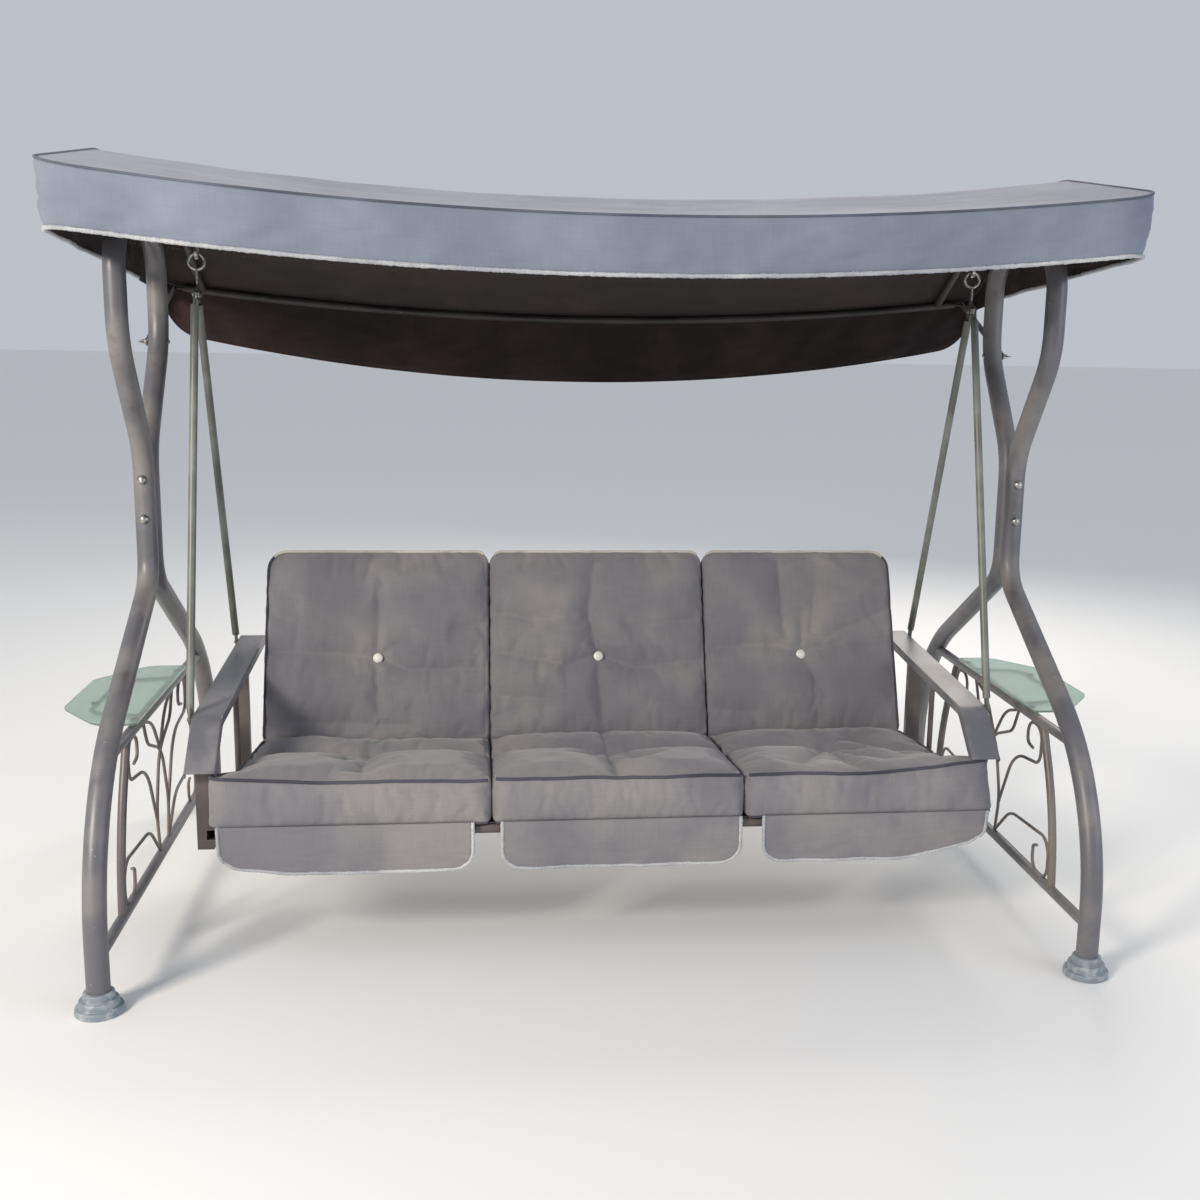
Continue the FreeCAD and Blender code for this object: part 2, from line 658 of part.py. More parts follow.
def make_hangers():
    for end, side in SIDES:
        for place, row in ROWS:
            (y0, z0), (y1, z1) = hanger_ends(row)
            top, foot = Vector(0, y0, z0), Vector(0, y1, z1)
            along = (foot - top).normalize()
            length = (foot - top).Length
            name = f"hanger_{place}_{end}"
            reach = S.lug_width / 2
            lug = 46
            lugs = []
            for label, s0 in (("top", -reach), ("low", length + reach - lug)):
                corners = [(-reach, s0), (reach, s0), (reach, s0 + lug), (-reach, s0 + lug)]
                hole = 0 if label == "top" else length
                rounds = [11, 11, 0, 0] if label == "top" else [0, 0, 11, 11]
                lugs.append(plate(f"{name}_lug_{label}", "YZ_Plane", outline(corners, rounds), "Size.lug_thick", 0.0,
                                  [(0, hole, S.hanger_bolt / 2, "Size.hanger_bolt / 2")]))
            run = [Part.LineSegment(Vector(0, lug - reach - 8, 0), Vector(0, length + reach - lug + 8, 0))]
            rod = tube(name + "_rod", "YZ_Plane", run, "hanger_tube", "thin_wall")
            whole = weld(name, lugs + [rod])
            turn = Rotation(Vector(0, 0, 1), along)
            whole.Placement = Placement(Vector(hanger_plane(side), y0, z0), turn)
            node(whole, name)


def make_hanger_bolts():
    """A bolt at each end of each rod, with a spacer where the rod stands off the arm."""
    bolts = []
    lug = S.hang_plane + S.lug_thick / 2
    spacer = lug - S.arm_inner - S.arm_wide
    for end, side in SIDES:
        for place, row in ROWS:
            for k, (y, z) in enumerate(hanger_ends(row)):
                inner = S.hang_plane - S.lug_thick / 2
                if k:
                    inner = S.arm_inner + S.arm_wide - S.arm_sheet
                outer = S.hang_plane + 1.5 * S.lug_thick
                name = f"hanger_bolt_{end}_{place}_{k}"
                length = outer - inner
                middle = side * (inner + outer) / 2
                bolts.append(weld(name, [
                    pin(name + "_shank", S.hanger_bolt, length, (middle, y, z), (side, 0, 0), "Size.hanger_bolt / 2"),
                    dome(name + "_head", 8, 5, (side * outer, y, z), (side, 0, 0)),
                    hexagon(name + "_nut", 13, 5, (side * (inner - 2.5), y, z), (side, 0, 0)),
                ] + ([pin(name + "_spacer", 15, spacer, (side * (lug - spacer / 2), y, z), (side, 0, 0))] if k else [])))
    node(group("hanger_bolts", bolts), "hanger_bolts")


# ---- arms ------------------------------------------------------------------------------------

def arm_centre():
    return S.arm_inner + S.arm_wide / 2


def make_arms():
    """A pressed channel: flat on top, sides turned down, bent over at the front."""
    for end, side in SIDES:
        name = f"arm_{end}"
        body = doc.addObject("PartDesign::Body", name + "_channel")
        path = new_sketch(body, name + "_path", "YZ_Plane")
        path.addGeometry(bent_line([(S.arm_rear_y, S.arm_rear_z), (S.arm_fold_y, S.arm_fold_z),
                                    (S.arm_lip_y, S.arm_lip_z)], [60]), False)
        section = body.newObject("Sketcher::SketchObject", name + "_section")
        section.AttachmentSupport = [(path, "Edge1")]
        section.MapMode = "NormalToEdge"
        doc.recompute()
        # the section's own up is whichever of its axes points along +Z
        up = section.Placement.Rotation.multVec(Vector(0, 1, 0)).z
        across = section.Placement.Rotation.multVec(Vector(1, 0, 0)).z
        half, sheet_ = S.arm_wide / 2, S.arm_sheet
        shape = [(-half, 0), (half, 0), (half, -S.arm_deep), (half - sheet_, -S.arm_deep),
                 (half - sheet_, -sheet_), (-half + sheet_, -sheet_), (-half + sheet_, -S.arm_deep),
                 (-half, -S.arm_deep)]
        if abs(up) > abs(across):
            shape = [(x, z if up > 0 else -z) for x, z in shape]
        else:
            shape = [(z if across > 0 else -z, x) for x, z in shape]
        section.addGeometry(outline(shape, [4, 4, 0, 0, 2, 2, 0, 0]), False)
        doc.recompute()
        pipe = body.newObject("PartDesign::AdditivePipe", name + "_sweep")
        pipe.Profile = section
        pipe.Spine = (path, ["Edge1", "Edge2", "Edge3"])
        body.Placement = Placement(Vector(side * arm_centre(), 0, 0), Rotation())
        drills = [pin(f"{name}_drill_{place}", S.hanger_bolt, 30, (side * (S.arm_inner + S.arm_wide),
                      *hanger_ends(row)[1]), (1, 0, 0), "Size.hanger_bolt / 2") for place, row in ROWS]
        node(trim(name, body, drills), name)


def seat_at(s, n):
    """(y, z) at s forwards along the seat and n up from the frame's centre plane."""
    slope = math.radians(S.seat_slope)
    return (S.pivot_y - s * math.cos(slope) + n * math.sin(slope),
            S.pivot_z + s * math.sin(slope) + n * math.cos(slope))


def back_at(t, n):
    """(y, z) at t up the back and n forwards from the frame's centre plane."""
    lean = math.radians(S.back_lean)
    return (S.pivot_y + t * math.sin(lean) - n * math.cos(lean),
            S.pivot_z + t * math.cos(lean) + n * math.sin(lean))


def seat_s(y):
    """Distance along the seat's centre plane at a given depth."""
    return (S.pivot_y - y) / math.cos(math.radians(S.seat_slope))


def front_rail_s():
    return S.seat_front - S.front_inset


S.post_front = seat_at(front_rail_s() - S.post_set, 0)[0]
S.arm_fold_y = S.post_front + S.fold_ahead
S.arm_lip_y = S.arm_fold_y - S.lip_ahead


def rail_plane():
    """Middle of a seat side rail: against the inner face of the arm posts."""
    return arm_centre() - S.post_wide / 2 - S.seat_tube / 2


def make_arm_frames():
    """Front and rear posts up into the arm, and a thin brace between them, on the seat's side rail."""
    half = S.post_deep / 2
    for end, side in SIDES:
        pieces = []
        for label, middle, foot in (("front", S.post_front, S.post_foot),
                                    ("rear", S.post_rear, seat_at(seat_s(S.post_rear), -S.seat_tube)[1])):
            tops = [arm_surface(middle + k * half) for k in (-1, 1)]
            slope = math.atan2(tops[1] - tops[0], S.post_deep)
            drop = S.arm_sheet / math.cos(slope)
            corners = [(middle - half, foot), (middle + half, foot), (middle + half, tops[1] - drop),
                       (middle - half, tops[0] - drop)]
            post = plate(f"arm_post_{label}_{end}", "YZ_Plane", outline(corners, [0] * 4), "Size.post_wide")
            hollow = [(middle - half + 2, foot - 1), (middle + half - 2, foot - 1),
                      (middle + half - 2, tops[1] - 18), (middle - half + 2, tops[0] - 18)]
            inside = plate(f"arm_post_bore_{label}_{end}", "YZ_Plane", outline(hollow, [0] * 4),
                           "Size.post_wide - 4")
            tube_ = trim(f"arm_post_{label}_{end}_tube", post, [inside])
            tube_.Placement = Placement(Vector(side * arm_centre(), 0, 0), Rotation())
            pieces.append(tube_)
        y = S.pivot_y - S.brace_ahead
        low = seat_at(seat_s(y), S.seat_tube / 2)[1] + S.brace_rod / 2 * math.tan(math.radians(S.seat_slope)) + 0.1
        high = arm_surface(y) - 2 * S.arm_sheet
        x = S.arm_inner + S.arm_sheet + S.brace_rod / 2 + 1
        pieces.append(pin(f"arm_brace_{end}", S.brace_rod, high - low, (side * x, y, (low + high) / 2), (0, 0, 1),
                          "Size.brace_rod / 2"))
        node(group(f"arm_posts_{end}", pieces), f"arm_posts_{end}")


# ---- seat frame ------------------------------------------------------------------------------

def frame_tube(name, a, b, wall=True):
    """A straight round tube between two points."""
    start, end = Vector(*a), Vector(*b)
    axis = end - start
    middle = (start + end) / 2
    bar = pin(name + "_bar", S.seat_tube, axis.Length, middle, axis, "Size.seat_tube / 2")
    if not wall:
        return bar
    bore = pin(name + "_bore", S.seat_tube - 2 * S.thin_wall, axis.Length + 2, middle, axis,
               "Size.seat_tube / 2 - Size.thin_wall")
    return trim(name, bar, [bore])


def make_seat_frame():
    front_s = front_rail_s()
    plane = rail_plane()
    inner = plane - S.seat_tube / 2
    front = seat_at(front_s, 0)
    rear = seat_at(S.rail_back, 0)
    pieces = [frame_tube("seat_front_rail", (-inner, *front), (inner, *front)),
              frame_tube("seat_rear_rail", (-inner, *rear), (inner, *rear))]
    width = S.seat_tube
    for end, side in SIDES:
        # square side rail from the front rail back past the rear post
        corners = [seat_at(front_s + width / 2, -width / 2), seat_at(front_s + width / 2, width / 2),
                   seat_at(seat_s(S.post_rear + S.post_deep / 2), width / 2),
                   seat_at(seat_s(S.post_rear + S.post_deep / 2), -width / 2)]
        bar = plate(f"seat_side_{end}", "YZ_Plane", outline(corners, [0] * 4), "Size.seat_tube")
        wall = 2 * S.thin_wall
        s0, s1 = front_s + width / 2 + 1, seat_s(S.post_rear + S.post_deep / 2) - 1
        hollow = [seat_at(s0, -(width - wall) / 2), seat_at(s0, (width - wall) / 2),
                  seat_at(s1, (width - wall) / 2), seat_at(s1, -(width - wall) / 2)]
        inside = plate(f"seat_side_bore_{end}", "YZ_Plane", outline(hollow, [0] * 4),
                       "Size.seat_tube - 2 * Size.thin_wall")
        rail = trim(f"seat_side_rail_{end}", bar, [inside])
        rail.Placement = Placement(Vector(side * plane, 0, 0), Rotation())
        pieces.append(rail)
        cross_front = seat_at(front_s, 0)
        support = frame_tube(f"seat_support_{end}", (side * S.support_plane, *rear), (side * S.support_plane, *cross_front))
        fit = [frame_tube(f"seat_support_fit_{end}_{k}", (side * S.support_plane - 40, *place),
                          (side * S.support_plane + 40, *place), False) for k, place in enumerate((front, rear))]
        pieces.append(trim(f"seat_support_{end}_fitted", support, fit))
    node(group("seat_frame", pieces), "seat_frame")


def make_recline_plates():
    """A plate each side with the recline bolt's hole and the arc slot that limits the back."""
    lean = 90 - S.back_lean
    slot_half = S.recline_bolt / 2 + 0.25
    plates = []
    for end, side in SIDES:
        body = doc.addObject("PartDesign::Body", f"recline_plate_{end}_body")
        sketch = new_sketch(body, f"recline_plate_{end}_outline", "YZ_Plane")
        rim = S.plate_reach + 15
        rail_y, rail_z = seat_at(S.rail_back, 0)

        def around(angle, radius):
            a = math.radians(angle)
            return S.pivot_y + radius * math.cos(a), S.pivot_z + radius * math.sin(a)

        high, low = lean + 13, lean - S.recline_angle - 13
        first, last = Vector(*around(high, rim), 0), Vector(*around(low, rim), 0)
        middle = Vector(*around((high + low) / 2, rim), 0)
        under = Vector(*around(-60, 18), 0)
        round_rail = S.seat_tube / 2 + 9.5
        tail = Vector(rail_y - 2, rail_z - round_rail, 0)
        nose = Vector(rail_y - round_rail, rail_z + 4, 0)
        sketch.addGeometry([Part.Arc(first, middle, last), Part.LineSegment(last, under),
                            Part.LineSegment(under, tail), Part.LineSegment(tail, nose),
                            Part.LineSegment(nose, first)], False)
        for y, z, radius, expression in (
                (S.pivot_y, S.pivot_z, S.recline_bolt / 2, "Size.recline_bolt / 2"),
                (rail_y, rail_z, S.seat_tube / 2, "Size.seat_tube / 2")):
            index = sketch.addGeometry(Part.Circle(Vector(y, z, 0), Vector(0, 0, 1), radius), False)
            bind(sketch, index, "Radius", radius, expression)
        # arc slot: two arcs about the pivot closed by round ends
        ends = [lean + 1.0, lean - S.recline_angle - 1.0]
        inner, outer = S.plate_reach - slot_half, S.plate_reach + slot_half
        a_in, a_out = Vector(*around(ends[0], inner), 0), Vector(*around(ends[0], outer), 0)
        b_in, b_out = Vector(*around(ends[1], inner), 0), Vector(*around(ends[1], outer), 0)
        mid = (ends[0] + ends[1]) / 2
        cap = math.degrees(slot_half / S.plate_reach)
        sketch.addGeometry([
            Part.Arc(a_in, Vector(*around(mid, inner), 0), b_in),
            Part.Arc(b_in, Vector(*around(ends[1] - cap, S.plate_reach), 0), b_out),
            Part.Arc(b_out, Vector(*around(mid, outer), 0), a_out),
            Part.Arc(a_out, Vector(*around(ends[0] + cap, S.plate_reach), 0), a_in)], False)
        pad = body.newObject("PartDesign::Pad", f"recline_plate_{end}_pad")
        pad.Profile = sketch
        pad.Length = S.plate_thick
        pad.setExpression("Length", "Size.plate_thick")
        pad.Midplane = True
        body.Placement = Placement(Vector(side * (S.plate_plane + S.plate_thick / 2), 0, 0), Rotation())
        plates.append(body)
    node(group("recline_plates", plates), "recline_plates")


def back_tube_plane():
    """Middle of a back side tube: just inside the recline plate."""
    return S.plate_plane - 1 - S.seat_tube / 2


def make_recline_bolts():
    bolts = []
    for end, side in SIDES:
        inner = back_tube_plane() - S.seat_tube / 2 - 1
        outer = S.plate_plane + S.plate_thick
        middle = side * (inner + outer) / 2
        name = f"recline_bolt_{end}"
        bolts.append(weld(name, [
            pin(name + "_shank", S.recline_bolt, outer - inner, (middle, S.pivot_y, S.pivot_z), (1, 0, 0),
                "Size.recline_bolt / 2"),
            hexagon(name + "_head", 17, 4, (side * (outer + 2), S.pivot_y, S.pivot_z), (1, 0, 0)),
            hexagon(name + "_nut", 17, 6, (side * (inner - 3), S.pivot_y, S.pivot_z), (1, 0, 0)),
        ]))
    node(group("recline_bolts", bolts), "recline_bolts")


def make_back_frame():
    """Side tubes, top tube and the two lower rails that reach out past the cushions."""
    plane = back_tube_plane()
    top_t = S.back_top - S.top_inset
    pieces = []
    for end, side in SIDES:
        foot, head = back_at(-15, 0), back_at(top_t + S.seat_tube / 2, 0)
        upright = frame_tube(f"back_side_{end}", (side * plane, *foot), (side * plane, *head))
        holes = [pin(f"back_side_hole_{end}", S.recline_bolt + 2 * S.pin_gap, 60, (side * plane, S.pivot_y, S.pivot_z),
                     (1, 0, 0), "Size.recline_bolt / 2 + Size.pin_gap")]
        stud = back_at(S.plate_reach, 0)
        outer = S.plate_plane + S.plate_thick + 5
        pieces.append(weld(f"back_side_{end}_studded", [
            trim(f"back_side_{end}_drilled", upright, holes),
            pin(f"recline_stud_{end}", S.recline_bolt, outer - plane + 4, (side * (outer + plane - 4) / 2, *stud),
                (1, 0, 0), "Size.recline_bolt / 2")]))
    for label, t in (("upper", S.back_rail_high), ("lower", S.back_rail_low)):
        place = back_at(t, -S.seat_tube)
        reach = rail_plane() - S.seat_tube / 2 - 4
        pieces.append(frame_tube(f"back_rail_{label}", (-reach, *place), (reach, *place)))
    inner = plane - S.seat_tube / 2
    place = back_at(top_t, 0)
    pieces.append(frame_tube("back_top_tube", (-inner, *place), (inner, *place)))
    node(group("back_frame", pieces), "back_frame")


def make_slings():
    low, high = S.seat_tube / 2, S.seat_tube / 2 + S.sling_thick
    tip = front_rail_s() + S.seat_tube / 2
    corners = [seat_at(S.rail_back - 6, low), seat_at(tip, low), seat_at(tip, high), seat_at(S.rail_back - 6, high)]
    width = 2 * (S.plate_plane - S.sling_thick)
    node(plate("seat_sling", "YZ_Plane", outline(corners, [0] * 4), width), "seat_sling")
    top = S.back_top - S.top_inset + S.seat_tube / 2
    corners = [back_at(60, low), back_at(top, low), back_at(top, high), back_at(60, high)]
    width = 2 * (back_tube_plane() + S.seat_tube / 2 - 2)
    node(plate("back_sling", "YZ_Plane", outline(corners, [0] * 4), width), "back_sling")


# ---- cushions --------------------------------------------------------------------------------

def pad_base():
    return S.seat_tube / 2 + S.sling_thick + S.pad_gap


def mitre():
    """(s, t) where the seat's top meets the front of the back, along each."""
    seat_top, back_front = pad_base() + S.seat_pad, pad_base() + S.back_pad
    angle = math.pi - math.radians(S.seat_slope) - math.radians(90 - S.back_lean)
    s = (back_front + seat_top * math.cos(angle)) / math.sin(angle)
    t = (seat_top + back_front * math.cos(angle)) / math.sin(angle)
    return s, t


def panels():
    """(label, left side, right side) of each cushion of a row."""
    half, gap = S.cushion_half, S.cushion_gap / 2
    return [("left", -half, -S.seam_left - gap), ("middle", -S.seam_left + gap, S.seam_right - gap),
            ("right", S.seam_right + gap, half)]


def make_cushions():
    base = pad_base()
    seat_top, back_front = base + S.seat_pad, base + S.back_pad
    meet_s, meet_t = mitre()
    # the mitre runs from the pivot to the crease, each cushion keeping half the gap
    seat_low_s = meet_s * base / seat_top
    back_low_t = meet_t * base / back_front
    gap = S.mitre_gap
    for label, near, far in panels():
        x, width = (near + far) / 2, far - near
        seat = [seat_at(seat_low_s + gap, base), seat_at(S.seat_front, base), seat_at(S.seat_front, seat_top),
                seat_at(meet_s + gap, seat_top)]
        body = plate(f"seat_cushion_{label}", "YZ_Plane", outline(seat, [0, 14, 18, 0]), width)
        body.Placement = Placement(Vector(x, 0, 0), Rotation())
        node(body, f"seat_cushion_{label}")
        back = [back_at(back_low_t + gap, base), back_at(meet_t + gap, back_front), back_at(S.back_top, back_front),
                back_at(S.back_top, base)]
        body = plate(f"back_cushion_{label}", "YZ_Plane", outline(back, [0, 0, 30, 20]), width)
        body.Placement = Placement(Vector(x, 0, 0), Rotation())
        node(body, f"back_cushion_{label}")


def make_flaps():
    """Three cloth flaps that hang from the front of the seat cushions."""
    y, z = seat_at(S.seat_front, pad_base())
    flaps = []
    for label, near, far in panels():
        half = (far - near) / 2 - S.flap_inset
        corners = [(-half, z), (-half, z - S.flap_drop), (half, z - S.flap_drop), (half, z)]
        flap = plate(f"seat_flap_{label}", "XZ_Plane", outline(corners, [0, 42, 42, 0]), "Size.flap_thick")
        flap.Placement = Placement(Vector((near + far) / 2, y + S.flap_thick / 2, 0), Rotation())
        flaps.append(flap)
    node(group("seat_flaps", flaps), "seat_flaps")


def make_buttons():
    front = pad_base() + S.back_pad
    lean = math.radians(S.back_lean)
    axis = (0, -math.cos(lean), math.sin(lean))
    buttons = [dome(f"button_{label}", S.button_dia / 2, 5,
                    ((near + far) / 2, *back_at(S.button_high, front)), axis) for label, near, far in panels()]
    node(group("back_buttons", buttons), "back_buttons")


# ---- canopy ----------------------------------------------------------------------------------

def sag_radius():
    """Radius of the long arc that every cross rail follows."""
    return (S.side_rail ** 2 + S.rail_sag ** 2) / (2 * S.rail_sag)


def sag_drop(x):
    """How far a rail is below its height at the side rails; negative beyond them."""
    radius = sag_radius()
    return S.rail_sag - radius + math.sqrt(radius ** 2 - x ** 2)


def sag_slope(x):
    return x / math.sqrt(sag_radius() ** 2 - x ** 2)


def sagging_run(height, half):
    """An arc across the canopy, lower in the middle."""
    return [Part.Arc(Vector(-half, height - sag_drop(half), 0), Vector(0, height - S.rail_sag, 0),
                     Vector(half, height - sag_drop(half), 0))]


def side_rail_path():
    corners = [(-S.front_reach, S.front_height), (-S.crown_half, S.canopy_axis),
               (S.crown_half, S.canopy_axis), (S.rear_reach, S.rear_height)]
    return bent_line(corners, [120, 90])


def rear_pin_height():
    return S.rear_height - sag_drop(S.rail_end)


def stay_plane():
    return S.leg_plane + S.leg_tube / 2 + S.stay_gap + S.stay_thick / 2


def make_canopy_frame():
    ends = (("front", -S.front_reach, S.front_height), ("rear", S.rear_reach, S.rear_height))
    rails = [tube(f"canopy_{label}_rail", "XZ_Plane", sagging_run(height, S.rail_end), "canopy_rail",
                  "thin_wall", offset=-y) for label, y, height in ends]
    fitted = []
    for end, side in SIDES:
        name = f"canopy_side_{end}"
        x = side * S.side_rail
        pipe = place_x(tube(name + "_pipe", "YZ_Plane", side_rail_path(), "canopy_rail", "thin_wall"),
                       side_text(side, "side_rail"))
        tools = [pin(f"{name}_cope_{label}", S.canopy_rail, 60, (x, y, height), (1, 0, sag_slope(x)),
                     "Size.canopy_rail / 2") for label, y, height in ends]
        tools.append(pin(name + "_hole", S.canopy_bolt + 2 * S.pin_gap, 60, (x, 0, S.canopy_axis), (1, 0, 0),
                         "Size.canopy_bolt / 2 + Size.pin_gap"))
        fitted.append(trim(name, pipe, tools))
    node(group("canopy_side_rails", fitted), "canopy_side_rails")
    ridge = tube("canopy_ridge_rail", "XZ_Plane", sagging_run(S.canopy_axis, S.side_rail - 4), "canopy_rail",
                 "thin_wall", offset=S.ridge_ahead)
    copes = [pin(f"canopy_ridge_cope_{end}", S.canopy_rail, 60, (side * S.side_rail, -S.ridge_ahead, S.canopy_axis),
                 (0, 1, 0), "Size.canopy_rail / 2 + 0.3") for end, side in SIDES]
    rails.append(trim("canopy_ridge_fitted", ridge, copes))
    # a plug in each end of the rear rail carries the pin of the stay
    pins = []
    plug = 20
    for end, side in SIDES:
        reach = stay_plane() + S.stay_thick / 2 + 6
        length = reach - S.rail_end + plug
        pins.append(pin(f"stay_pin_{end}", S.canopy_bolt, length,
                        (side * (reach - length / 2), S.rear_reach, rear_pin_height()), (1, 0, 0),
                        "Size.canopy_bolt / 2"))
        pins.append(pin(f"rail_plug_{end}", S.canopy_rail - S.thin_wall, plug,
                        (side * (S.rail_end + 3 - plug / 2), S.rear_reach,
                         rear_pin_height() + (3 - plug / 2) * sag_slope(S.rail_end)),
                        (1, 0, side * sag_slope(S.rail_end)), "(Size.canopy_rail - Size.thin_wall) / 2"))
    rails[1] = weld("canopy_rear_pinned", [rails[1]] + pins)
    node(group("canopy_rails", rails), "canopy_rails")


def cover_line(x, out):
    """The cover's section at x: front hem, front seam, crown, rear seam, rear hem; out is how far outside the rails."""
    drop = sag_drop(x)
    droop = S.rear_droop * max(0.0, 1 - (x / S.canopy_half) ** 2)
    crown = S.crown_half
    return [(-S.front_reach - out, S.front_height + out - S.front_skirt - drop),
            (-S.front_reach - out, S.front_height + out - drop),
            (-crown, S.canopy_axis + out - drop), (crown, S.canopy_axis + out - drop),
            (S.rear_reach + out, S.rear_height + out - drop),
            (S.rear_reach + out, S.rear_height - S.rear_skirt - droop - drop)]


def make_canopy_cover():
    """One sagging sheet over the rails with a panel at each end."""
    inner = S.canopy_rail / 2 + S.cover_gap
    outer = inner + S.cover_wall
    body = doc.addObject("PartDesign::Body", "canopy_sheet")
    reach = S.canopy_half - S.cover_wall / 2
    sections = []
    for k, share in enumerate((-1, -0.5, 0, 0.5, 1)):
        x = share * reach
        line_out, line_in = cover_line(x, outer), cover_line(x, inner)
        line_in[0] = (line_in[0][0], line_out[0][1])
        line_in[-1] = (line_in[-1][0], line_out[-1][1])
        sketch = new_sketch(body, f"cover_section_{k}", "YZ_Plane", x)
        ring = line_out + line_in[::-1]
        sketch.addGeometry(outline(ring, [0] * len(ring)), False)
        sections.append(sketch)
    doc.recompute()
    loft = body.newObject("PartDesign::AdditiveLoft", "cover_loft")
    loft.Profile = sections[0]
    loft.Sections = sections[1:]
    panels = []
    for end, side in SIDES:
        line = cover_line(S.canopy_half, outer)
        hem = [(S.rear_reach * 0.55, S.rear_height + 2), (-S.front_reach + 20, line[0][1] + 2)]
        panels.append(plate(f"cover_panel_{end}", "YZ_Plane", outline(line + hem, [0] * 8), "Size.cover_wall",
                            side * reach))
    node(weld("canopy_cover", [body] + panels), "canopy_cover")


def make_canopy_brackets():
    """Two cheeks on the beam at each end, either side of a canopy side rail, with the tilt bolt."""
    pieces = []
    radius = S.leg_tube / 2
    for end, side in SIDES:
        saddle = pin(f"bracket_saddle_{end}", S.leg_tube, 120, (side * S.side_rail, 0, S.beam_height), (1, 0, 0),
                     "Size.leg_tube / 2")
        clear = S.canopy_rail / 2 + 2
        for k in (-1, 1):
            name = f"canopy_cheek_{end}_{'in' if k < 0 else 'out'}"
            top, low = S.canopy_axis + 7, S.beam_height + radius * 0.55
            corners = [(-radius, low), (radius, low), (radius, low + 22), (11, S.canopy_axis - 20), (11, top), (-11, top),
                       (-11, S.canopy_axis - 20), (-radius, low + 22)]
            cheek = plate(name, "YZ_Plane", outline(corners, [0, 0, 4, 8, 6, 6, 8, 4]), 4.0, 0.0,
                          [(0, S.canopy_axis, S.canopy_bolt / 2, "Size.canopy_bolt / 2")])
            cheek.Placement = Placement(Vector(side * S.side_rail + k * (clear + 2), 0, 0), Rotation())
            pieces.append(trim(name + "_fitted", cheek, [saddle]))
        outer = clear + 4
        name = f"tilt_bolt_{end}"
        x = side * S.side_rail
        pieces.append(weld(name, [
            pin(name + "_shank", S.canopy_bolt, 2 * outer + 8, (x, 0, S.canopy_axis), (1, 0, 0),
                "Size.canopy_bolt / 2"),
            hexagon(name + "_head", 13, 5, (x - outer - 2.5, 0, S.canopy_axis), (1, 0, 0)),
            hexagon(name + "_nut", 13, 6, (x + outer + 3, 0, S.canopy_axis), (1, 0, 0))]))
    node(group("canopy_brackets", pieces), "canopy_brackets")


# ---- canopy stays ----------------------------------------------------------------------------

def stay_travel(top, foot):
    """How far the stay slides past the stud when the canopy is tipped right back."""
    axis = Vector(0, 0, S.canopy_axis)
    tipped = axis + Rotation(Vector(-1, 0, 0), S.canopy_tilt).multVec(top - axis)
    return (foot - top).Length - (foot - tipped).Length


def make_stays():
    """A slotted bar from the rear rail's end down to a clamp stud on the rear leg."""
    top = Vector(0, S.rear_reach, rear_pin_height())
    foot = Vector(0, leg_reach(S.stud_height), S.stud_height)
    along = (foot - top).normalize()
    reach = (foot - top).Length
    half, slot = S.stay_wide / 2, S.slot_wide / 2
    slot_top, slot_low = reach - stay_travel(top, foot), reach + S.stud_dia / 2 + 0.5 - slot
    eye = S.canopy_bolt / 2 + S.pin_gap
    for end, side in SIDES:
        name = f"canopy_stay_{end}"
        body = doc.addObject("PartDesign::Body", name)
        sketch = new_sketch(body, name + "_outline", "YZ_Plane")
        low = slot_low + slot + 6
        sketch.addGeometry(outline([(-half, -half), (half, -half), (half, low), (-half, low)],
                                   [9, 9, 9, 9]), False)
        index = sketch.addGeometry(Part.Circle(Vector(), Vector(0, 0, 1), eye), False)
        bind(sketch, index, "Radius", eye, "Size.canopy_bolt / 2 + Size.pin_gap")
        sketch.addGeometry(outline([(-slot, slot_top - slot), (slot, slot_top - slot), (slot, slot_low + slot),
                                    (-slot, slot_low + slot)], [slot - 0.5] * 4), False)
        pad = body.newObject("PartDesign::Pad", name + "_pad")
        pad.Profile = sketch
        pad.Length = S.stay_thick
        pad.setExpression("Length", "Size.stay_thick")
        pad.Midplane = True
        turn = Rotation(Vector(0, 0, 1), along)
        body.Placement = Placement(Vector(side * stay_plane(), top.y, top.z), turn)
        node(body, name)


def clamp_face():
    """Outer face of a stay: the wing nut's washer bears here."""
    return stay_plane() + S.stay_thick / 2


def make_stay_studs():
    """A clamp stud through each rear leg, headed on the inside."""
    studs = []
    for end, side in SIDES:
        inner = S.leg_plane - S.leg_tube / 2
        outer = clamp_face() + 16
        name = f"stay_stud_{end}"
        place = (leg_reach(S.stud_height), S.stud_height)
        studs.append(weld(name, [
            pin(name + "_shank", S.stud_dia, outer - inner, (side * (inner + outer) / 2, *place), (1, 0, 0),
                "Size.stud_dia / 2"),
            dome(name + "_head", 7, 4, (side * inner, *place), (-side, 0, 0))]))
    node(group("stay_studs", studs), "stay_studs")


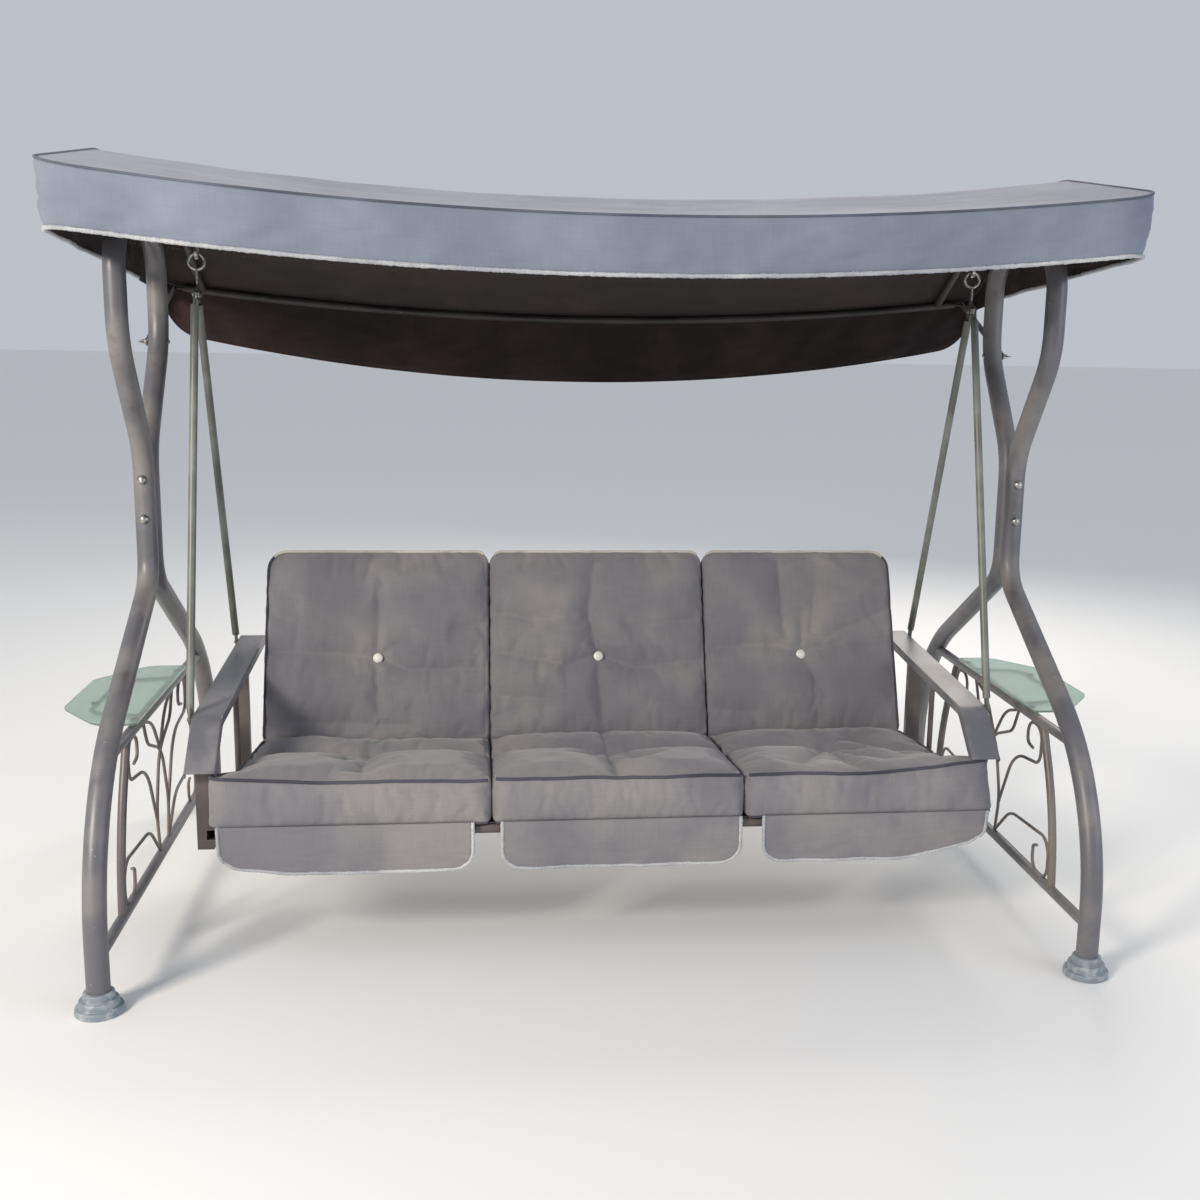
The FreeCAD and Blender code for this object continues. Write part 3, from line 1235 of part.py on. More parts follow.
def make_wing_nuts():
    for end, side in SIDES:
        name = f"wing_nut_{end}"
        inner = clamp_face() + 0.3
        hub = 8
        place = (leg_reach(S.stud_height), S.stud_height)
        flange = pin(name + "_flange", 18, 2, (side * (inner + 1), *place), (1, 0, 0))
        barrel = pin(name + "_barrel", 12, hub, (side * (inner + 2 + hub / 2), *place), (1, 0, 0))
        wings = []
        for k in (-1, 1):
            corners = [(k * 3, inner + 2), (k * 10, inner + 3), (k * 19, inner + 12), (k * 15, inner + 19),
                       (k * 9, inner + 12), (k * 3, inner + 9)]
            wing = plate(f"{name}_wing_{k + 1}", "XZ_Plane",
                         outline([(side * x, y) for y, x in corners], [0, 4, 3, 3, 4, 0]), 3.0)
            wing.Placement = Placement(Vector(0, *place), Rotation(Vector(1, 0, 0), 90))
            wings.append(wing)
        bore = pin(name + "_bore", S.stud_dia + 2 * S.pin_gap, 80, (side * inner, *place), (1, 0, 0),
                   "Size.stud_dia / 2 + Size.pin_gap")
        node(trim(name, weld(name + "_solid", [flange, barrel] + wings), [bore]), name)


# ---- build and export ------------------------------------------------------------------------

legs = make_legs()
make_arches_and_beam()
make_feet()
bars = make_side_bars(legs)
make_balusters(bars)
make_scrollwork(bars)
make_tables(bars)
make_waist_bolts()
make_hooks()
make_canopy_brackets()
make_stay_studs()
make_links()
make_hangers()
make_hanger_bolts()
make_arms()
make_arm_frames()
make_seat_frame()
make_recline_plates()
make_recline_bolts()
make_slings()
make_cushions()
make_flaps()
make_back_frame()
make_buttons()
make_canopy_frame()
make_canopy_cover()
make_stays()
make_wing_nuts()
doc.recompute()

faults = [f"{thing.Name}: {thing.State}" for thing in doc.Objects
          if any(word in thing.State for word in ("Invalid", "Error"))]
faults += [f"{part.Label}: no valid shape" for part in NODES
           if part.Shape.isNull() or not part.Shape.isValid() or not part.Shape.Solids]
if faults:
    raise SystemExit("the model has faults:\n" + "\n".join(faults))

os.makedirs("parts", exist_ok=True)
for part in NODES:
    part.Shape.exportStep(os.path.join("parts", part.Label + ".step"))
print(len(NODES), "sub-parts written")
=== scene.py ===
import json
import math
import bmesh
import bpy
import numpy as np
from mathutils import Matrix, Vector, noise


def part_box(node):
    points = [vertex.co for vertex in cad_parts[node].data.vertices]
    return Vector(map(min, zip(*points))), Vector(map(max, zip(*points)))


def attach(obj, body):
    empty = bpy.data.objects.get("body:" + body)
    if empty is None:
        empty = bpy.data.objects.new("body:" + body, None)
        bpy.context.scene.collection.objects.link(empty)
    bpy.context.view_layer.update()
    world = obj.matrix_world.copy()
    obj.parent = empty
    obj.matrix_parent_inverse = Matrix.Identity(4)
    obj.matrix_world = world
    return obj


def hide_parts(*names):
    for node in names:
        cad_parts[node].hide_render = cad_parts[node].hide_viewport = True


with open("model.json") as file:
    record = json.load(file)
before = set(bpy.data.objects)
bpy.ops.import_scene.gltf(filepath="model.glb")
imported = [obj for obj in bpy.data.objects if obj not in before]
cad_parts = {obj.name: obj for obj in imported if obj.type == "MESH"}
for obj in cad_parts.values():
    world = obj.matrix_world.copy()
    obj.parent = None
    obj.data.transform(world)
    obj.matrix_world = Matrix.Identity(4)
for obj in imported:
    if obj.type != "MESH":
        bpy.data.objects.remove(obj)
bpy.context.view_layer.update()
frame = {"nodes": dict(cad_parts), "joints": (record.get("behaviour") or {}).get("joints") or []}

mm = 0.001
jointPlace = {joint["name"]: Vector(joint["pos_m"]) for joint in frame["joints"]}


# camera: at standing eye height, a little left of the middle
camera = {
    "place": (-0.2896, -3.5559, 1.4553),
    "yaw": 7.0347,        # degrees to the right of straight back
    "pitch": -10.985,
    "roll": 1.099,
    "lens": 42.17,
    "shift": -0.0424,
}


def makeCamera():
    yaw, pitch, roll = (math.radians(camera[key]) for key in ("yaw", "pitch", "roll"))
    ahead = Vector((math.sin(yaw) * math.cos(pitch), math.cos(yaw) * math.cos(pitch), math.sin(pitch)))
    right = Vector((math.cos(yaw), -math.sin(yaw), 0))
    up = right.cross(ahead)
    tiltedRight = right * math.cos(roll) + up * math.sin(roll)
    tiltedUp = up * math.cos(roll) - right * math.sin(roll)
    data = bpy.data.cameras.new("camera")
    data.lens = camera["lens"]
    data.sensor_width = 36
    data.shift_x = camera["shift"]
    obj = bpy.data.objects.new("camera", data)
    bpy.context.scene.collection.objects.link(obj)
    turn = Matrix((tiltedRight, tiltedUp, -ahead)).transposed().to_4x4()
    obj.matrix_world = Matrix.Translation(camera["place"]) @ turn
    bpy.context.scene.camera = obj


# studio: pale floor, soft warm key from the front left, cool fill from the right
studio = {
    "floor": "#f1f1ef",
    "floorHalf": 60.0,
    "sky": "#e9eef7",
    "skyStrength": 0.62,
    "lights": [
        # name, place, aimed at, side in m, watts, colour
        ("key", (-3.6, -3.9, 2.9), (0.0, 0.0, 0.7), 1.2, 240, "#fff5e9"),
        ("fill", (4.6, -3.4, 2.0), (0.0, 0.0, 0.9), 3.0, 60, "#dfe8ff"),
        ("rim", (1.6, 3.6, 3.4), (0.0, 0.2, 1.2), 2.0, 110, "#fff6ea"),
    ],
}


def hexColour(code):
    channels = [int(code[k:k + 2], 16) / 255 for k in (1, 3, 5)]
    return [c / 12.92 if c <= 0.04045 else ((c + 0.055) / 1.055) ** 2.4 for c in channels] + [1.0]


def addNode(tree, kind, inputs=None, **settings):
    node = tree.nodes.new(kind)
    for key, value in settings.items():
        setattr(node, key, value)
    for key, value in (inputs or {}).items():
        if isinstance(value, bpy.types.NodeSocket):
            tree.links.new(value, node.inputs[key])
        else:
            node.inputs[key].default_value = value
    return node


def newMaterial(name, surface):
    material = bpy.data.materials.new(name)
    material.use_nodes = True
    tree = material.node_tree
    shader = tree.nodes["Principled BSDF"]
    for socket, value in surface.items():
        shader.inputs[socket].default_value = value
    return material, tree, shader


def patches(tree, place, patch):
    # uneven weathering: patch is the width of a blotch in metres, its detail, and where it fades in and out
    size, detail, low, high = patch
    blotch = addNode(tree, "ShaderNodeTexNoise", {"Vector": place, "Scale": 1 / size, "Detail": detail,
                                                  "Roughness": 0.55}).outputs["Fac"]
    return addNode(tree, "ShaderNodeMapRange", {"Value": blotch, "From Min": low, "From Max": high},
                   interpolation_type="SMOOTHSTEP").outputs["Result"]


# powder coated steel: baked polyester powder, slightly orange-peeled, dulled by weather
paints = {
    "coatedLegs": {"paint": "#65656a", "faded": "#807d7b", "stain": "#5d4a41", "stainShare": 0.35, "rough": 0.46},
    "coatedScrolls": {"paint": "#625c5b", "faded": "#7d746c", "stain": "#6a4535", "stainShare": 0.75, "rough": 0.5},
    "coatedRods": {"paint": "#64665f", "faded": "#848981", "stain": "#6b5f4e", "stainShare": 0.5, "rough": 0.48},
    "coatedArms": {"paint": "#6c6d73", "faded": "#8f8d8e", "stain": "#5b5048", "stainShare": 0.25, "rough": 0.42},
    "coatedRails": {"paint": "#2f2b2b", "faded": "#413b39", "stain": "#4a3328", "stainShare": 0.4, "rough": 0.5},
    "coatedSeat": {"paint": "#57504e", "faded": "#6d6561", "stain": "#593f33", "stainShare": 0.5, "rough": 0.5},
}
paintTexture = {
    "fade": (0.16, 3, 0.38, 0.66), "stain": (0.045, 5, 0.56, 0.74), "chipped": (0.03, 1, 0.60, 0.66),
    "chip": 11 * mm, "peel": 2.8 * mm, "peelDepth": 0.25 * mm, "primer": "#c9c6c0",
}


def coatedSteel(name):
    paint = paints[name]
    material, tree, shader = newMaterial(name, {"Metallic": 0.15, "Coat Weight": 0.12, "Coat Roughness": 0.3})
    place = addNode(tree, "ShaderNodeTexCoord").outputs["Object"]
    fade = patches(tree, place, paintTexture["fade"])
    colour = addNode(tree, "ShaderNodeMix", {0: fade, 6: hexColour(paint["paint"]), 7: hexColour(paint["faded"])},
                     data_type="RGBA").outputs[2]
    stain = addNode(tree, "ShaderNodeMath", {0: patches(tree, place, paintTexture["stain"]), 1: paint["stainShare"]},
                    operation="MULTIPLY").outputs[0]
    colour = addNode(tree, "ShaderNodeMix", {0: stain, 6: colour, 7: hexColour(paint["stain"])},
                     data_type="RGBA").outputs[2]
    # small chips where the coat has worn to a pale primer
    cells = addNode(tree, "ShaderNodeTexVoronoi", {"Vector": place, "Scale": 1 / paintTexture["chip"]})
    spots = addNode(tree, "ShaderNodeMapRange", {"Value": cells.outputs["Distance"], "From Min": 0.10,
                                                 "From Max": 0.06}).outputs["Result"]
    chips = addNode(tree, "ShaderNodeMath", {0: spots, 1: patches(tree, place, paintTexture["chipped"])},
                    operation="MULTIPLY").outputs[0]
    colour = addNode(tree, "ShaderNodeMix", {0: chips, 6: colour, 7: hexColour(paintTexture["primer"])},
                     data_type="RGBA").outputs[2]
    tree.links.new(colour, shader.inputs["Base Color"])
    rough = addNode(tree, "ShaderNodeMapRange", {"Value": fade, "To Min": paint["rough"] - 0.06,
                                                 "To Max": paint["rough"] + 0.14}).outputs["Result"]
    tree.links.new(rough, shader.inputs["Roughness"])
    peel = addNode(tree, "ShaderNodeTexNoise", {"Vector": place, "Scale": 1 / paintTexture["peel"], "Detail": 2})
    bump = addNode(tree, "ShaderNodeBump", {"Height": peel.outputs["Fac"], "Strength": 0.5,
                                            "Distance": paintTexture["peelDepth"]})
    tree.links.new(bump.outputs["Normal"], shader.inputs["Normal"])
    return material


# zinc plated steel: bolts, nuts and links, bright with a dull bloom
zinc = {"bright": "#b9b9b4", "dull": "#8d8a84", "bloom": (6 * mm, 4, 0.40, 0.62), "rough": (0.28, 0.5)}


def platedSteel():
    material, tree, shader = newMaterial("zincPlatedSteel", {"Metallic": 0.95})
    place = addNode(tree, "ShaderNodeTexCoord").outputs["Object"]
    bloom = patches(tree, place, zinc["bloom"])
    colour = addNode(tree, "ShaderNodeMix", {0: bloom, 6: hexColour(zinc["bright"]), 7: hexColour(zinc["dull"])},
                     data_type="RGBA").outputs[2]
    tree.links.new(colour, shader.inputs["Base Color"])
    rough = addNode(tree, "ShaderNodeMapRange", {"Value": bloom, "To Min": zinc["rough"][0],
                                                 "To Max": zinc["rough"][1]}).outputs["Result"]
    tree.links.new(rough, shader.inputs["Roughness"])
    return material


# moulded plastics and rubber: a fine moulded grain under sun-bleached dust
plastics = {
    "polypropyleneFeet": {"colour": "#7f8a92", "chalk": "#a7adb0", "rough": 0.45},
    "rubberPads": {"colour": "#26262a", "chalk": "#3c3b3b", "rough": 0.7},
    "nylonButtons": {"colour": "#d8d5cd", "chalk": "#e8e6df", "rough": 0.35},
}
plasticTexture = {"dust": (20 * mm, 4, 0.42, 0.70), "grain": 1.5 * mm, "grainDepth": 0.2 * mm}


def mouldedPlastic(name):
    plastic = plastics[name]
    material, tree, shader = newMaterial(name, {"IOR": 1.49})
    place = addNode(tree, "ShaderNodeTexCoord").outputs["Object"]
    dust = patches(tree, place, plasticTexture["dust"])
    colour = addNode(tree, "ShaderNodeMix", {0: dust, 6: hexColour(plastic["colour"]), 7: hexColour(plastic["chalk"])},
                     data_type="RGBA").outputs[2]
    tree.links.new(colour, shader.inputs["Base Color"])
    rougher = addNode(tree, "ShaderNodeMapRange", {"Value": dust, "To Min": plastic["rough"],
                                                   "To Max": plastic["rough"] + 0.2})
    tree.links.new(rougher.outputs["Result"], shader.inputs["Roughness"])
    grain = addNode(tree, "ShaderNodeTexNoise", {"Vector": place, "Scale": 1 / plasticTexture["grain"], "Detail": 2})
    bump = addNode(tree, "ShaderNodeBump", {"Height": grain.outputs["Fac"], "Strength": 0.3,
                                            "Distance": plasticTexture["grainDepth"]})
    tree.links.new(bump.outputs["Normal"], shader.inputs["Normal"])
    return material


# tempered soda-lime glass, green in its depth, with a thin film of dust
tableTop = {"tint": "#c4dccb", "film": (0.12, 3, 0.30, 0.80), "rough": (0.10, 0.18)}


def tableGlass():
    material, tree, shader = newMaterial("temperedGlass", {
        "IOR": 1.52, "Transmission Weight": 0.82, "Base Color": hexColour(tableTop["tint"])})
    place = addNode(tree, "ShaderNodeTexCoord").outputs["Object"]
    film = patches(tree, place, tableTop["film"])
    rough = addNode(tree, "ShaderNodeMapRange", {"Value": film, "To Min": tableTop["rough"][0],
                                                 "To Max": tableTop["rough"][1]}).outputs["Result"]
    tree.links.new(rough, shader.inputs["Roughness"])
    return material


# woven polyester: thread is the spacing drawn, coarser than the cloth's own 0.6 mm so that it shows
cloths = {
    "cushionCloth": {"colour": "#77767b", "faded": "#8e8a89", "soiled": "#60626d", "thread": 2.6, "contrast": 0.11,
                     "sheen": 0.25, "depth": 0.5, "soil": 0.35},
    "canopyCloth": {"colour": "#757c8a", "faded": "#848b99", "soiled": "#666c7a", "thread": 3.0, "contrast": 0.09,
                    "sheen": 0.15, "depth": 0.4, "soil": 0.22},
    # near-black cloth: painted shade for the canopy's underside and rear hem, and the dark thread of the front stitches
    "canopyShadeAndStitchCloth": {"colour": "#2b2322", "faded": "#3a2d2a", "soiled": "#1c1a1e", "thread": 3.6, "contrast": 0.20,
                     "sheen": 0.1, "depth": 0.4, "soil": 0.5},
    "slingMesh": {"colour": "#3d3d42", "faded": "#4c4b4e", "soiled": "#2f2f34", "thread": 3.0, "contrast": 0.55,
                  "sheen": 0.0, "depth": 0.8, "soil": 0.3},
    "canopyPiping": {"colour": "#4d535f", "faded": "#6b727e", "soiled": "#3c414b", "thread": 2.4, "contrast": 0.2,
                     "sheen": 0.1, "depth": 0.3, "soil": 0.4},
    "darkPiping": {"colour": "#3f4049", "faded": "#565660", "soiled": "#33343c", "thread": 2.4, "contrast": 0.2,
                   "sheen": 0.1, "depth": 0.3, "soil": 0.4},
    "palePiping": {"colour": "#b7b2aa", "faded": "#d4cfc5", "soiled": "#8b867f", "thread": 2.4, "contrast": 0.2,
                   "sheen": 0.1, "depth": 0.3, "soil": 0.7},
    "frayedBinding": {"colour": "#aeb2b8", "faded": "#cfd0d0", "soiled": "#83868c", "thread": 2.2, "contrast": 0.35,
                      "sheen": 0.2, "depth": 0.8, "soil": 0.6},
}


clothTexture = {"fade": (0.28, 3, 0.36, 0.68), "soil": (0.09, 5, 0.52, 0.80), "slubs": ((260, 14, 1), (14, 260, 1))}


def wovenCloth(name):
    cloth = cloths[name]
    material, tree, shader = newMaterial(name, {"Roughness": 0.88, "Sheen Weight": cloth["sheen"],
                                                "Sheen Roughness": 0.5, "Specular IOR Level": 0.25})
    flat = addNode(tree, "ShaderNodeUVMap", uv_map="cloth").outputs["UV"]
    place = addNode(tree, "ShaderNodeTexCoord").outputs["Object"]
    split = addNode(tree, "ShaderNodeSeparateXYZ", {0: flat})
    waves = []
    for axis in ("X", "Y"):
        turns = addNode(tree, "ShaderNodeMath", {0: split.outputs[axis], 1: 2 * math.pi / (cloth["thread"] * mm)},
                        operation="MULTIPLY").outputs[0]
        waves.append(addNode(tree, "ShaderNodeMath", {0: turns}, operation="SINE").outputs[0])
    weave = addNode(tree, "ShaderNodeMath", {0: waves[0], 1: waves[1]}, operation="MULTIPLY").outputs[0]
    # slubs: threads that are thicker for a hand's width, along both directions of the weave
    slubs = []
    for stretch in clothTexture["slubs"]:
        along = addNode(tree, "ShaderNodeMapping", {"Vector": flat, "Scale": stretch}).outputs["Vector"]
        slubs.append(addNode(tree, "ShaderNodeTexNoise", {"Vector": along, "Scale": 1.0, "Detail": 1}).outputs["Fac"])
    slub = addNode(tree, "ShaderNodeMath", {0: slubs[0], 1: slubs[1]}, operation="ADD").outputs[0]
    thread = addNode(tree, "ShaderNodeMath", {0: weave, 1: 0.25, 2: slub}, operation="MULTIPLY_ADD").outputs[0]
    fade = patches(tree, place, clothTexture["fade"])
    colour = addNode(tree, "ShaderNodeMix", {0: fade, 6: hexColour(cloth["colour"]), 7: hexColour(cloth["faded"])},
                     data_type="RGBA").outputs[2]
    soil = addNode(tree, "ShaderNodeMath", {0: patches(tree, place, clothTexture["soil"]), 1: cloth["soil"]},
                   operation="MULTIPLY").outputs[0]
    colour = addNode(tree, "ShaderNodeMix", {0: soil, 6: colour, 7: hexColour(cloth["soiled"])},
                     data_type="RGBA").outputs[2]
    shade = addNode(tree, "ShaderNodeMapRange", {"Value": thread, "From Min": 0.6, "From Max": 1.4,
                                                 "To Min": 1 - cloth["contrast"], "To Max": 1.0}).outputs["Result"]
    grey = addNode(tree, "ShaderNodeCombineColor", {0: shade, 1: shade, 2: shade}).outputs[0]
    woven = addNode(tree, "ShaderNodeMix", {0: 1.0, 6: colour, 7: grey}, data_type="RGBA", blend_type="MULTIPLY")
    tree.links.new(woven.outputs[2], shader.inputs["Base Color"])
    bump = addNode(tree, "ShaderNodeBump", {"Height": thread, "Strength": cloth["depth"], "Distance": 0.0006})
    tree.links.new(bump.outputs["Normal"], shader.inputs["Normal"])
    return material


makeCamera()
steel = {name: coatedSteel(name) for name in paints}
fabric = {name: wovenCloth(name) for name in cloths}
plated = platedSteel()
moulded = {name: mouldedPlastic(name) for name in plastics}
glass = tableGlass()
print("materials made")

nodeFinish = {
    "coatedLegs": ["front_leg", "rear_leg", "top_arch", "top_beam", "upper_bar", "lower_bar", "canopy_brackets",
                   "canopy_stay"],
    "coatedRails": ["canopy_rails", "canopy_side_rails"],
    "coatedScrolls": ["scrollwork", "balusters", "table_support"],
    "coatedRods": ["hanger_front", "hanger_rear"],
    "coatedArms": ["arm_left", "arm_right"],
    "coatedSeat": ["arm_posts", "seat_frame", "recline_plates", "back_frame"],
}


def dressFrame():
    plain = {"foot_cap": moulded["polypropyleneFeet"], "table_glass": glass, "table_pads": moulded["rubberPads"],
             "back_buttons": moulded["nylonButtons"]}
    for node, obj in frame["nodes"].items():
        finish = plated
        for name, starts in nodeFinish.items():
            if any(node.startswith(start) for start in starts):
                finish = steel[name]
        for start, material in plain.items():
            if node.startswith(start):
                finish = material
        obj.data.materials.clear()
        obj.data.materials.append(finish)


dressFrame()
print("frame dressed")


# ---- shared mesh helpers

def linkMesh(name, points, faces, materials, uv=None, smooth=True):
    mesh = bpy.data.meshes.new(name)
    mesh.from_pydata([tuple(p) for p in points], [], faces)
    if uv is not None:
        layer = mesh.uv_layers.new(name="cloth")
        flatUv = np.array([uv[f][c] for f in range(len(faces)) for c in range(len(faces[f]))], np.float32)
        layer.data.foreach_set("uv", flatUv.ravel())
    for material in materials:
        mesh.materials.append(material)
    mesh.polygons.foreach_set("use_smooth", [smooth] * len(mesh.polygons))
    obj = bpy.data.objects.new(name, mesh)
    bpy.context.scene.collection.objects.link(obj)
    return obj


def wave(point, size, seed=0.0):
    # smooth noise between -1 and 1 whose blotches are size wide
    return noise.noise(Vector(point) / size + Vector((seed * 7.3, seed * 3.1, seed * 5.7)))


def gridFaces(columns, rows):
    return [[j * columns + i, j * columns + i + 1, (j + 1) * columns + i + 1, (j + 1) * columns + i]
            for j in range(rows - 1) for i in range(columns - 1)]


def roundCorner(u, v):
    # maps a square corner zone onto a quarter disc
    far = math.hypot(u, v)
    return (u, v) if far < 1e-9 else (u * max(u, v) / far, v * max(u, v) / far)


def roundedPlan(x, y, halfX, halfY, radius):
    # a point of a rectangle moved into the same rectangle with rounded corners
    u, v = abs(x) - (halfX - radius), abs(y) - (halfY - radius)
    if u > 0 and v > 0:
        u, v = roundCorner(u, v)
        x = math.copysign(halfX - radius + u, x)
        y = math.copysign(halfY - radius + v, y)
    return x, y


# ---- tubes, tapes and stitches that follow a seam, made with geometry nodes

def seamTree(name, kind):
    tree = bpy.data.node_groups.new(name, "GeometryNodeTree")
    face = tree.interface
    face.new_socket("Geometry", in_out="INPUT", socket_type="NodeSocketGeometry")
    for label, default in (("Radius", 0.004), ("Spacing", 0.008), ("Fray", 0.0)):
        socket = face.new_socket(label, in_out="INPUT", socket_type="NodeSocketFloat")
        socket.default_value = default
    face.new_socket("Material", in_out="INPUT", socket_type="NodeSocketMaterial")
    face.new_socket("Geometry", in_out="OUTPUT", socket_type="NodeSocketGeometry")
    source = addNode(tree, "NodeGroupInput")
    line = addNode(tree, "GeometryNodeMeshToCurve", {"Mesh": source.outputs["Geometry"]}).outputs["Curve"]
    even = addNode(tree, "GeometryNodeResampleCurve", {"Curve": line, "Length": source.outputs["Spacing"]},
                   mode="LENGTH").outputs["Curve"]
    if kind == "tube":
        ring = addNode(tree, "GeometryNodeCurvePrimitiveCircle", {"Resolution": 8,
                                                                  "Radius": source.outputs["Radius"]})
        made = addNode(tree, "GeometryNodeCurveToMesh", {"Curve": even, "Profile Curve": ring.outputs["Curve"],
                                                         "Fill Caps": True}).outputs["Mesh"]
        place = addNode(tree, "GeometryNodeInputPosition").outputs[0]
        rough = addNode(tree, "ShaderNodeTexNoise", {"Vector": place, "Scale": 190.0, "Detail": 2.0})
        centred = addNode(tree, "ShaderNodeVectorMath", {0: rough.outputs["Color"], 1: (0.5, 0.5, 0.5)},
                          operation="SUBTRACT").outputs[0]
        push = addNode(tree, "ShaderNodeVectorMath", {0: centred, "Scale": source.outputs["Fray"]},
                       operation="SCALE").outputs[0]
        made = addNode(tree, "GeometryNodeSetPosition", {"Geometry": made, "Offset": push}).outputs[0]
        made = addNode(tree, "GeometryNodeSetShadeSmooth", {"Geometry": made}).outputs[0]
    else:
        stitch = addNode(tree, "GeometryNodeMeshUVSphere", {"Segments": 6, "Rings": 4,
                                                            "Radius": source.outputs["Radius"]})
        tangent = addNode(tree, "GeometryNodeInputTangent").outputs[0]
        turn = addNode(tree, "FunctionNodeAlignRotationToVector", {"Vector": tangent}, axis="Z").outputs[0]
        made = addNode(tree, "GeometryNodeInstanceOnPoints", {
            "Points": even, "Instance": stitch.outputs["Mesh"], "Rotation": turn,
            "Scale": (1.0, 1.0, 3.4)}).outputs["Instances"]
        made = addNode(tree, "GeometryNodeRealizeInstances", {"Geometry": made}).outputs[0]
    made = addNode(tree, "GeometryNodeSetMaterial", {"Geometry": made,
                                                     "Material": source.outputs["Material"]}).outputs[0]
    addNode(tree, "NodeGroupOutput", {"Geometry": made})
    return tree


seamTrees = {kind: seamTree(kind + "AlongSeam", kind) for kind in ("tube", "stitch")}


def alongSeams(name, lines, kind, material, radius, spacing=0.008, fray=0.0):
    # lines: lists of points, each with a flag that says whether it closes
    points, edges = [], []
    for line, closed in lines:
        first = len(points)
        points += [tuple(p) for p in line]
        edges += [(first + k, first + k + 1) for k in range(len(line) - 1)]
        if closed:
            edges.append((len(points) - 1, first))
    path = bpy.data.meshes.new(name + "Path")
    path.from_pydata(points, edges, [])
    obj = bpy.data.objects.new(name, path)
    bpy.context.scene.collection.objects.link(obj)
    modifier = obj.modifiers.new("seam", "NODES")
    modifier.node_group = seamTrees[kind]
    wanted = {"Radius": radius, "Spacing": spacing, "Fray": fray, "Material": material}
    for item in seamTrees[kind].interface.items_tree:
        if item.in_out == "INPUT" and item.name in wanted:
            modifier[item.identifier] = wanted[item.name]
    bpy.context.view_layer.update()
    made = bpy.data.meshes.new_from_object(obj.evaluated_get(bpy.context.evaluated_depsgraph_get()))
    obj.modifiers.clear()
    obj.data = made
    made.name = name
    layer = made.uv_layers.get("cloth") or made.uv_layers.new(name="cloth")
    corners = np.empty(len(made.loops), np.int32)
    made.loops.foreach_get("vertex_index", corners)
    place = np.empty(len(made.vertices) * 3, np.float32)
    made.vertices.foreach_get("co", place)
    layer.data.foreach_set("uv", place.reshape(-1, 3)[corners][:, [0, 2]].ravel())
    return obj


# ---- cushions

seat = {"slope": 6.5, "lean": 23.5, "base": 0.015, "seatPad": 0.098, "backPad": 0.090, "front": 0.622,
        "top": 0.604, "gap": 0.003, "mitreGap": 0.003}
pivot = jointPlace["back_recline"]
slope, lean = math.radians(seat["slope"]), math.radians(seat["lean"])
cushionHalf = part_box("seat_cushion_right")[1].x
panels = {}
for label in ("left", "middle", "right"):
    low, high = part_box(f"seat_cushion_{label}")
    panels[label] = ((low.x + high.x) / 2, high.x - low.x)


def seatPoint(x, s, n):
    # s forwards along the seat and n up from its frame, both in metres
    return Vector((x, pivot.y - s * math.cos(slope) + n * math.sin(slope),
                   pivot.z + s * math.sin(slope) + n * math.cos(slope)))


def backPoint(x, t, n):
    # t up the back and n forwards from its frame
    return Vector((x, pivot.y + t * math.sin(lean) - n * math.cos(lean),
                   pivot.z + t * math.cos(lean) + n * math.sin(lean)))


def creaseMeet():
    # where the seat's top meets the front of the back: s along the seat, t along the back
    top, front = seat["base"] + seat["seatPad"], seat["base"] + seat["backPad"]
    angle = math.pi / 2 - slope + lean
    return ((front + top * math.cos(angle)) / math.sin(angle), (top + front * math.cos(angle)) / math.sin(angle))


meetS, meetT = creaseMeet()

cushions = {
    "step": 0.0075,
    "edge": 0.009,          # rounding of a piped edge
    # corners in plan: at the crease, at the free edge inside the row, at the free edge outside it
    "corners": {"seat": (0.010, 0.018, 0.040), "back": (0.010, 0.032, 0.052)},
    "swell": {"pressure": 4.0, "frames": 20, "limit": 0.026},
    "inset": 0.004,         # the filling starts this much smaller than the finished cushion
    "crown": 0.007,         # filling that stands higher in the middle of a panel
    "crease": 1.7,
}


